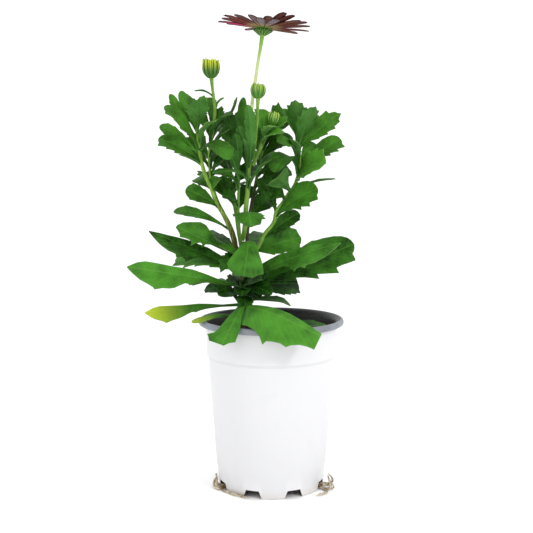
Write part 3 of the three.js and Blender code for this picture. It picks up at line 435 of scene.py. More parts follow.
# ------------ crown
# The short woody base of the plant, grown fast in the mix. It carries the oldest and largest
# leaves, low and spreading: thin but firm spoon shapes on stalks that clasp the wood, with a
# smooth margin or a few short teeth that point to the tip.

# Outlines of a leaf's half: (share of the length, share of the greatest half width).
OUTLINES = {
    "spoon": [
        (0, 0.15), (0.12, 0.18), (0.25, 0.34), (0.4, 0.64), (0.54, 0.88), (0.67, 0.99),
        (0.78, 1), (0.87, 0.9), (0.93, 0.72), (0.97, 0.5), (0.99, 0.28), (1, 0.05),
    ],
    "pointed": [
        (0, 0.14), (0.13, 0.18), (0.27, 0.42), (0.42, 0.8), (0.55, 0.96), (0.66, 0.94),
        (0.78, 0.76), (0.88, 0.48), (0.95, 0.22), (1, 0.02),
    ],
    "wide": [
        (0, 0.13), (0.08, 0.2), (0.2, 0.52), (0.35, 0.8), (0.5, 0.94), (0.66, 1),
        (0.8, 0.92), (0.9, 0.68), (0.96, 0.4), (1, 0.06),
    ],
    "sail": [
        (0, 0.15), (0.2, 0.3), (0.31, 0.46), (0.43, 1.02), (0.5, 0.98), (0.57, 1),
        (0.64, 1.16), (0.685, 1.4), (0.7, 1.22), (0.74, 1.14), (0.8, 1.08), (0.85, 1.15),
        (0.865, 1.0), (0.915, 0.8), (0.96, 0.72), (1, 0.7),
    ],
    "near_edge": [
        (0, 0.15), (0.2, 0.33), (0.445, 0.45), (0.6, 0.57), (0.755, 0.58), (0.845, 0.45),
        (0.93, 0.28), (1, 0.15),
    ],
    "heel": [
        (0, 0.15), (0.5, 0.32), (0.77, 0.52), (0.88, 0.66), (0.92, 0.8), (0.95, 1.14),
        (0.97, 1.0), (1, 0.85),
    ],
    "instep": [(0, 0.15), (0.5, 0.18), (0.69, 0.3), (0.82, 0.52), (0.93, 0.5), (1, 0.1)],
    "tongue": [
        (0, 0.15), (0.3, 0.26), (0.5, 0.38), (0.65, 0.46), (0.72, 0.55), (0.8, 0.74),
        (0.87, 0.92), (0.95, 1), (1, 0.5),
    ],
    "barbed": [
        (0, 0.16), (0.3, 0.16), (0.5, 0.12), (0.565, 0.3), (0.6, 0.82), (0.61, 0.4),
        (0.64, 0.36), (0.69, 0.66), (0.73, 1.1), (0.745, 0.68), (0.78, 0.6), (0.83, 0.64),
        (0.89, 0.8), (0.91, 0.5), (0.96, 0.2), (1, 0.04),
    ],
    "shoulder": [
        (0, 0.16), (0.3, 0.3), (0.445, 0.45), (0.53, 0.82), (0.645, 1.15), (0.745, 1.16),
        (0.875, 0.87), (0.955, 0.62), (1, 0.2),
    ],
    "belly": [
        (0, 0.12), (0.2, 0.14), (0.365, 0.23), (0.43, 0.4), (0.475, 0.6), (0.49, 0.5),
        (0.515, 0.5), (0.56, 0.7), (0.605, 0.92), (0.645, 1.02), (0.715, 1.11), (0.78, 1.32),
        (0.795, 1.14), (0.895, 0.78), (0.96, 0.35), (1, 0.03),
    ],
    "brow": [
        (0, 0.12), (0.2, 0.12), (0.34, 0.34), (0.45, 0.47), (0.62, 0.44), (0.76, 0.48),
        (0.85, 0.5), (0.92, 0.37), (1, 0.03),
    ],
    "fang": [
        (0, 0.15), (0.23, 0.34), (0.435, 0.52), (0.5, 0.95), (0.56, 1.8), (0.575, 1.5),
        (0.61, 1.46), (0.66, 1.85), (0.675, 1.45), (0.75, 1.38), (0.845, 0.97), (0.94, 0.42),
        (1, 0.03),
    ],
    "keel": [
        (0, 0.15), (0.23, 0.5), (0.4, 0.7), (0.52, 0.63), (0.62, 0.62), (0.715, 0.52),
        (0.81, 0.36), (0.9, 0.22), (1, 0.03),
    ],
}
# Each margin has an outline and its teeth on the left, then on the right. A tooth is (share of
# the length, how far it stands out), and the youngest leaves are cut deepest.
MARGINS = {
    "plain": (
        "spoon", [(0.54, 0.1), (0.72, 0.15), (0.88, 0.12)], "spoon", [(0.63, 0.1), (0.81, 0.14)],
    ),
    "saw": (
        "spoon", [(0.4, 0.28), (0.58, 0.4), (0.75, 0.42), (0.92, 0.42)],
        "spoon", [(0.68, 0.06)],
    ),
    "serrate": (
        "spoon", [(0.5, 0.12), (0.62, 0.2), (0.72, 0.2), (0.82, 0.2), (0.92, 0.2)],
        "spoon", [],
    ),
    "notched": (
        "spoon", [(0.42, 0.14), (0.57, 0.22), (0.75, 0.2)],
        "spoon", [(0.49, 0.16), (0.67, 0.22), (0.86, 0.2)],
    ),
    "toothed": (
        "pointed", [(0.38, 0.2), (0.54, 0.3), (0.71, 0.3), (0.86, 0.22)],
        "pointed", [(0.46, 0.22), (0.62, 0.3), (0.79, 0.28), (0.92, 0.14)],
    ),
    "broad": (
        "wide", [(0.34, 0.14), (0.52, 0.2), (0.7, 0.22), (0.87, 0.24)],
        "wide", [(0.42, 0.16), (0.6, 0.2), (0.79, 0.22), (0.93, 0.16)],
    ),
    "blunt": ("sail", [], "near_edge", []),
    "stub": ("instep", [(0.93, 0.1)], "heel", []),
    "tongue": ("tongue", [(0.9, 0.14)], "tongue", [(0.94, 0.1)]),
    "hooked": ("barbed", [], "shoulder", []),
    "lopsided": ("belly", [], "brow", []),
    "keen": ("fang", [], "keel", []),
}
COLUMNS = [-1, -0.84, -0.62, -0.38, -0.12, 0, 0.12, 0.38, 0.62, 0.84, 1]
ROWS = 24
TOOTH_RISE, TOOTH_FALL = 0.16, 0.035
GUTTER_DEPTH, GUTTER_WIDTH = 0.3, 0.1
BLADE_THICKNESS = 0.5
MIDRIB_KNOTS = (0, 0.08, 0.2, 0.36, 0.55, 0.75, 0.94)
YOUNG_FROM, YOUNG_RISE = 150, 130


def half_at(outline, share):
    for (start, half), (end, next_half) in zip(outline, outline[1:]):
        if share <= end + 1e-9:
            t = (share - start) / (end - start)
            return half + (next_half - half) * t


def tooth_at(teeth, share):
    tallest = 0
    for place, height in teeth:
        if place - TOOTH_RISE < share <= place:
            tallest = max(tallest, height * (1 - (place - share) / TOOTH_RISE) ** 2)
        elif place < share < place + TOOTH_FALL:
            tallest = max(tallest, height * (1 - (share - place) / TOOTH_FALL))
    return tallest


def cut_blank(left_outline, left, right_outline, right):
    shares = {k / ROWS for k in range(ROWS + 1)} | {0.98, 0.992}
    shares |= {share for share, half in OUTLINES[left_outline] + OUTLINES[right_outline]}
    shares |= {place + fall for place, height in left + right for fall in (0, TOOTH_FALL)}
    rows = []
    for share in sorted(shares):
        if not rows or share - rows[-1] > 0.007:
            rows.append(share)
    pick()
    bpy.ops.mesh.primitive_grid_add(
        x_subdivisions=len(COLUMNS) - 1, y_subdivisions=len(rows) - 1, size=2,
    )
    blank = bpy.context.object
    for number, vertex in enumerate(blank.data.vertices):
        column = COLUMNS[number % len(COLUMNS)]
        share = rows[number // len(COLUMNS)]
        outline, teeth = (left_outline, left) if column > 0 else (right_outline, right)
        tooth = tooth_at(teeth, share) * abs(column) ** 5
        half = column * half_at(OUTLINES[outline], share) + math.copysign(tooth, column)
        gutter = GUTTER_DEPTH * (1 - 0.7 * share) * math.exp(-(column / GUTTER_WIDTH) ** 2)
        vertex.co = (half, min(1, share + 0.09 * tooth), -gutter)
    edge = blank.data.attributes.new("leaf_edge", "FLOAT", "POINT")
    edge.data.foreach_set("value", [abs(column) for column in COLUMNS] * len(rows))
    mesh = blank.data
    bpy.data.objects.remove(blank)
    return mesh


BLANKS = {kind: cut_blank(*margin) for kind, margin in MARGINS.items()}


# A leaf: the point of its stem that it leaves from (they are counted, and 1.5 is halfway from
# the second to the third), its tip and greatest width in mm, its margin, how far it arches up
# and sways aside in mm, the roll, fold and twist of its blade in degrees, whether its sides
# are swapped, how far it has ripened to yellow, and how light its green is.
# The tone is partly the leaf's own green and partly painted shade, set low on leaves deep in the
# plant.
Leaf = namedtuple(
    "Leaf", "at tip width margin lift roll sway fold twist flip ripe tone",
    defaults=(0, 0, 14, 0, False, 0, None),
)


# The midline of a leaf: its root, the point that bends it, its tip, and its sideways direction.
def midline(stem, leaf):
    below = min(math.floor(leaf.at), len(stem) - 2)
    root = Vector(stem[below]).lerp(Vector(stem[below + 1]), leaf.at - below)
    tip = Vector(leaf.tip)
    along = (tip - root).normalized()
    side = along.cross(Vector((0, 0, 1))).normalized()
    side.rotate(Matrix.Rotation(math.radians(leaf.roll), 3, along))
    face = side.cross(along)
    bend = (root + tip) / 2 + face * 2 * leaf.lift + side * 2 * leaf.sway
    return root, bend, tip, side


def place_on(line, twist, share):
    root, bend, tip, side = line
    centre = root.lerp(bend, share).lerp(bend.lerp(tip, share), share)
    tangent = ((bend - root) * (1 - share) + (tip - bend) * share).normalized()
    across = (side - tangent * side.dot(tangent)).normalized()
    across.rotate(Matrix.Rotation(math.radians(twist) * share, 3, tangent))
    return centre, across, across.cross(tangent)


def store(mesh, name, values):
    layer = mesh.attributes.new(name, "FLOAT_VECTOR", "POINT")
    layer.data.foreach_set("vector", [part for value in values for part in value])


def grow_leaf(stem, leaf, number, mirrored, tones):
    line = midline(stem, leaf)
    root, bend, tip, side = line
    mirrored = mirrored != leaf.flip
    half_width = leaf.width / 2
    length = (tip - root).length
    fold = math.radians(leaf.fold)
    tone = leaf.tone
    # A leaf with no tone of its own draws one from its branch's range, which is low on inner
    # branches as painted shade.
    if tone is None:
        tone = tones[0] + (tones[1] - tones[0]) * draw(number + 0.37)
    ripple = half_width * (0.05 + 0.05 * draw(number + 0.71))
    youth = max(0, min(1, (root.z - YOUNG_FROM) / YOUNG_RISE))
    youth *= 0.6 + 0.4 * (1 - min(1, half_width / 9))
    blade = add_copy("leaf", BLANKS[leaf.margin])
    for finish in (leaf_top, leaf_back, leaf_rim):
        blade.data.materials.append(finish)
    places, looks = [], []
    for vertex in blade.data.vertices:
        x, share, relief = vertex.co
        x = -x if mirrored else x
        centre, across, up = place_on(line, leaf.twist, share)
        wave = ripple * abs(x) ** 1.5 * math.sin(11 * share + 1.9 * number + (2 if x > 0 else 0))
        curl = abs(x) ** 1.15 * math.sin(fold) * half_width
        place = centre + across * x * half_width * math.cos(fold) + up * (curl + wave + relief)
        vertex.co = place * MM
        places.append((x * half_width, share * length, share))
        ripe = leaf.ripe * (max(0, share - 0.5) / 0.5) ** 1.3
        # Painted shade: the green darkens towards each leaf's foot, where the leaves crowd round
        # the stems.
        looks.append((tone + 0.08 - 0.4 * (1 - share) ** 2, ripe, youth))
    store(blade.data, "leaf_place", places)
    store(blade.data, "leaf_look", looks)
    if mirrored:
        blade.data.flip_normals()
    knots, radii = [], []
    for share in MIDRIB_KNOTS:
        centre, across, up = place_on(line, leaf.twist, share)
        radius = (0.25 + 0.035 * half_width) * (1 - share) + 0.14
        radius += 0.5 * max(0, 1 - share / 0.18) * min(1, half_width / 6)
        knots.append(centre - up * (0.3 + radius * 0.55))
        radii.append(radius)
    return blade, rod(knots, radii, leaf_rib, sides=1, steps=3)


def thicken(piece, thickness, back, rim):
    wall = piece.modifiers.new("thickness", "SOLIDIFY")
    wall.thickness = thickness * MM
    wall.offset = 0
    wall.material_offset = back
    wall.material_offset_rim = rim
    pick(piece)
    bpy.ops.object.modifier_apply(modifier="thickness")


def leafy_piece(name, stem, radii, finish, leaves, seed, tones):
    grown = [grow_leaf(stem, leaf, seed + number, number % 2 == 1, tones)
             for number, leaf in enumerate(leaves)]
    thick, thin = radii
    steps = len(stem) - 1
    uneven = [thick + (thin - thick) * k / steps + 0.12 * (draw(seed + 3 * k) - 0.5)
              for k in range(len(stem))]
    wood = rod(stem, uneven, finish, sides=4, steps=5)
    pick(*[blade for blade, rib in grown])
    bpy.ops.object.join()
    blades = bpy.context.object
    thicken(blades, BLADE_THICKNESS, 1, 2)
    return gather(name, [blades, wood, *[rib for blade, rib in grown]], 55)


# Leaf skin: a waxy, finely puckered green, darker and bluer with age, with a pale midrib and
# faint side veins that run forward at about 40 degrees, 4 to 5 mm apart.
# Its tone carries painted shade too, so the leaves inside the plant and the foot of each leaf come
# out darker.
def leaf_skin(name, dark, light, vein, depth, **sockets):
    skin = new_material(name, **sockets)
    place = add_node(skin, "Attribute", attribute_name="leaf_place").outputs["Vector"]
    look = add_node(skin, "Attribute", attribute_name="leaf_look").outputs["Vector"]
    edge = add_node(skin, "Attribute", attribute_name="leaf_edge").outputs["Fac"]
    aside, along, _ = add_node(skin, "SeparateXYZ", place).outputs
    tone, ripe, youth = add_node(skin, "SeparateXYZ", look).outputs
    where = add_node(skin, "TexCoord").outputs["Object"]
    cloud = add_node(skin, "TexNoise", Vector=where, Scale=85.0, Detail=3.0)
    mottle = add_node(skin, "TexNoise", Vector=where, Scale=420.0, Detail=3.0)
    mixed = add_node(skin, "Math", cloud, 1.8, tone, operation="MULTIPLY_ADD")
    shade = add_node(skin, "MapRange", mixed, 0.82, 1.95)
    flesh = add_node(skin, "MixRGB", shade, dark, light)
    young = add_node(skin, "Math", youth, 0.35, operation="MULTIPLY")
    fresh = add_node(skin, "MixRGB", young, flesh, "#5c9a28")
    flecks = add_node(skin, "MapRange", mottle, 0.45, 0.75, 0.0, 0.2)
    flecked = add_node(skin, "MixRGB", flecks, fresh, light)
    across = add_node(skin, "Math", aside, operation="ABSOLUTE")
    slant = add_node(skin, "Math", across, -1.1, along, operation="MULTIPLY_ADD")
    bent = add_node(skin, "Math", mottle, 1.2, slant, operation="MULTIPLY_ADD")
    pace = add_node(skin, "Math", bent, 2.3, operation="PINGPONG")
    side_vein = add_node(
        skin, "MapRange", pace, 0.0, 0.45, 0.24, 0.0, interpolation_type="SMOOTHSTEP",
    )
    midrib = add_node(
        skin, "MapRange", across, 0.2, 0.7, 0.34, 0.0, interpolation_type="SMOOTHSTEP",
    )
    veins = add_node(skin, "Math", side_vein, midrib, operation="MAXIMUM")
    vein_tint = add_node(skin, "MixRGB", tone, light, vein)
    veined = add_node(skin, "MixRGB", veins, flecked, vein_tint)
    border = add_node(skin, "MapRange", edge, 0.88, 1.0, 0.0, 0.1)
    bordered = add_node(skin, "MixRGB", border, veined, vein_tint)
    ripened = add_node(skin, "MixRGB", ripe, bordered, "#bccb36")
    cells = add_node(skin, "TexVoronoi", feature="DISTANCE_TO_EDGE", Vector=place, Scale=0.6)
    pucker = add_node(skin, "Math", veins, -0.8, cells, operation="MULTIPLY_ADD")
    relief = add_node(skin, "Bump", Height=pucker, Strength=0.5, Distance=depth)
    return coat(skin, Base_Color=ripened, Normal=relief)


leaf_top = leaf_skin(
    "waxy_leaf_upper_skin", "#0b2e05", "#4a8c28", "#6f9f4a", 0.0009,
    Roughness=0.5, IOR=1.42, Specular_IOR_Level=0.14,
)
leaf_back = leaf_skin(
    "dull_leaf_lower_skin", "#275521", "#5a8a48", "#8db070", -0.0009,
    Roughness=0.65, IOR=1.42, Specular_IOR_Level=0.08,
)


# The cut edge of a blade and the midrib below it, dull and paler than the skin.
def pale_skin(name, dark, light):
    skin = new_material(name, Roughness=0.55, Specular_IOR_Level=0.2)
    look = add_node(skin, "Attribute", attribute_name="leaf_look").outputs["Vector"]
    tone = add_node(skin, "SeparateXYZ", look).outputs["X"]
    where = add_node(skin, "TexCoord").outputs["Object"]
    patch = add_node(skin, "TexNoise", Vector=where, Scale=150.0)
    # The leaf's tone, with its painted shade, darkens the edge and midrib as well.
    share = add_node(skin, "Math", tone, patch, operation="MULTIPLY")
    shade = add_node(skin, "MapRange", share, 0.0, 0.55)
    return coat(skin, Base_Color=add_node(skin, "MixRGB", shade, dark, light))


leaf_rim = pale_skin("pale_leaf_margin", "#1a3d0e", "#6f9a4c")
leaf_rib = pale_skin("leaf_midrib_skin", "#44752f", "#689740")


# Stem skin: smooth and sappy green with faint streaks of short hairs. Up to "bark_top" (mm)
# an old branch has turned to dull brown bark, and its green clears over the next 30 mm.
def stem_skin(name, dark, light, roughness, bark_top=0, bark="#3a2a1b"):
    skin = new_material(name, Roughness=roughness, IOR=1.42, Specular_IOR_Level=0.3)
    where = add_node(skin, "TexCoord").outputs["Object"]
    drawn = add_node(skin, "Mapping", Vector=where, Scale=(1100.0, 1100.0, 70.0))
    streak = add_node(skin, "TexNoise", Vector=drawn, Scale=1.0, Detail=2.0)
    cloud = add_node(skin, "TexNoise", Vector=where, Scale=90.0, Detail=3.0)
    both = add_node(skin, "Math", streak, cloud, operation="ADD")
    share = add_node(skin, "MapRange", both, 0.7, 1.3)
    tint = add_node(skin, "MixRGB", share, dark, light)
    level = add_node(skin, "SeparateXYZ", where).outputs["Z"]
    height = add_node(skin, "Math", streak, 0.05, level, operation="MULTIPLY_ADD")
    start = bark_top * MM
    age = add_node(skin, "MapRange", height, start + 0.01, start + 0.04, 0.9, 0.0)
    aged = add_node(skin, "MixRGB", age, tint, bark)
    relief = add_node(skin, "Bump", Height=streak, Strength=0.4, Distance=0.0004)
    return coat(skin, Base_Color=aged, Normal=relief)


bark = stem_skin("crown_bark", "#3a3a1c", "#6d6a3a", 0.8, 160, "#3f2f1e")

CROWN = [
    (-22, 0, 100.4), (-22, 0, 118), (-21.8, 0, 132), (-21.3, 0, 147), (-21, 0, 160),
    (-21.2, 0, 172), (-21.5, 0, 183),
]
# Tones at or below zero are painted shade on the leaves crowded in the middle of the crown.
CROWN_LEAVES = [
    Leaf(1.9, (33.5, -63, 123.4), 31, "blunt", 20, 27, sway=12, fold=-23, tone=0.78),
    Leaf(1.9, (-34.2, -56, 115.9), 26, "stub", 15, 2, sway=-8, fold=-8, tone=0.55),
    Leaf(1.45, (41, -12, 121.5), 15, "plain", 0, 6, fold=6, tone=0),
    Leaf(1.6, (-57.5, -23, 126.2), 9, "plain", 3.4, -10, fold=-6, ripe=0.7, tone=0.6),
    Leaf(2.3, (-95, 4, 129), 16, "lopsided", 0, -24, fold=8, twist=-40, flip=True, ripe=1,
         tone=0.7),
    Leaf(3.2, (-103, -28, 167), 27, "lopsided", 1, -52, fold=8, tone=0.82),
    Leaf(4.1, (-90, -4, 191), 18, "keen", 0, -48, fold=12, flip=True, tone=0.15),
    Leaf(3.9, (-72.2, 16, 168.5), 17, "saw", 7, -40, fold=10, tone=0.8),
    Leaf(5, (-69.2, -13, 194.6), 20, "hooked", 4, -52, sway=-4, fold=10, flip=True, tone=0.4),
    Leaf(2.8, (-50, 12, 146), 12, "plain", 3, -40, tone=-0.1),
    Leaf(3.4, (-19.1, -46, 162.6), 25, "tongue", 28, sway=-4, fold=-14, tone=0.45),
    Leaf(4.6, (-37, -18, 162), 12, "toothed", 7, -20, tone=0.1),
    Leaf(3.6, (50.1, -20, 183.5), 21, "keen", 3, 44, fold=10, tone=0.5),
    Leaf(3.2, (61.8, 5, 180.8), 28, "saw", -2, 52, fold=12, flip=True, tone=0.3),
    Leaf(3.1, (20.4, 14, 149.6), 24, "serrate", 3, 46, tone=-0.2),
    Leaf(2.4, (15, 30, 131), 9, "plain", 4, 30, tone=0.2),
    Leaf(2.6, (-38, -24, 146), 13, "plain", 4, -30, tone=-0.1),
    Leaf(3, (0, -28, 147), 13, "notched", 5, 30, tone=-0.1),
    Leaf(2.5, (-18, -32, 136), 11, "plain", 6, tone=0),
    Leaf(2.2, (-62, 50, 144), 20, "notched", 9, 5),
    Leaf(2.5, (-18, 72, 140), 21, "broad", 15, fold=6),
    Leaf(2.9, (34, 56, 152), 20, "notched", 9),
    Leaf(4, (-2, 66, 184), 17, "notched", 8),
    Leaf(4.3, (-58, 48, 186), 16, "notched", 7),
    Leaf(3, (-28.9, -26, 155.3), 12, "plain", 5, -20, tone=-0.2),
    Leaf(3.2, (-6, -22, 157), 13, "saw", 5, 20, tone=-0.3),
    Leaf(2.7, (-20.9, -33, 146.8), 12, "plain", 6, tone=-0.1),
    Leaf(2.5, (-8.2, -26, 143.7), 11, "plain", 5, 20, tone=-0.2),
    Leaf(3.5, (-0.9, -12, 161.6), 12, "plain", 4, 40, tone=-0.1),
    Leaf(4.4, (-38, -14, 180.9), 11, "toothed", 3, -40, tone=0.5),
    Leaf(4.6, (-35.4, -8, 171.5), 10, "toothed", 3, -30, tone=0.4),
    Leaf(5, (-6.8, -17, 187.6), 9, "plain", 2, 30, tone=0.4),
    Leaf(2.6, (-6.6, -48, 160.1), 13, "toothed", 5, 40, tone=0),
    Leaf(2.6, (-31.6, -48, 158), 13, "toothed", 5, -40, tone=-0.1),
]
crown = leafy_piece("crown_foliage", CROWN, (2.6, 2.3), bark, CROWN_LEAVES, 100, (0, 0.4))
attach(crown, "root")
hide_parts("crown")

# ------------ leafy branches
# Seven ribbed stems that grew from the crown, green and sappy at the top and brown where they
# are old. Each carries its leaves in a loose spiral, the youngest and lightest at its tip.
green_stem = stem_skin("green_stem_skin", "#3d6a1f", "#6f9a3c", 0.55)
sappy_stem = stem_skin("sappy_young_stem_skin", "#55852a", "#86ac48", 0.5)
ageing_stem = stem_skin("ageing_stem_skin", "#648f2a", "#93b84a", 0.6, 200, "#4f4022")
# The back right branch's bark is its own dark brown, made darker still with painted shade.
dark_bark_and_shade_stem = stem_skin("purple_brown_stem_skin_with_painted_shade", "#47702c", "#6b9440", 0.6, 230, "#2e2018")
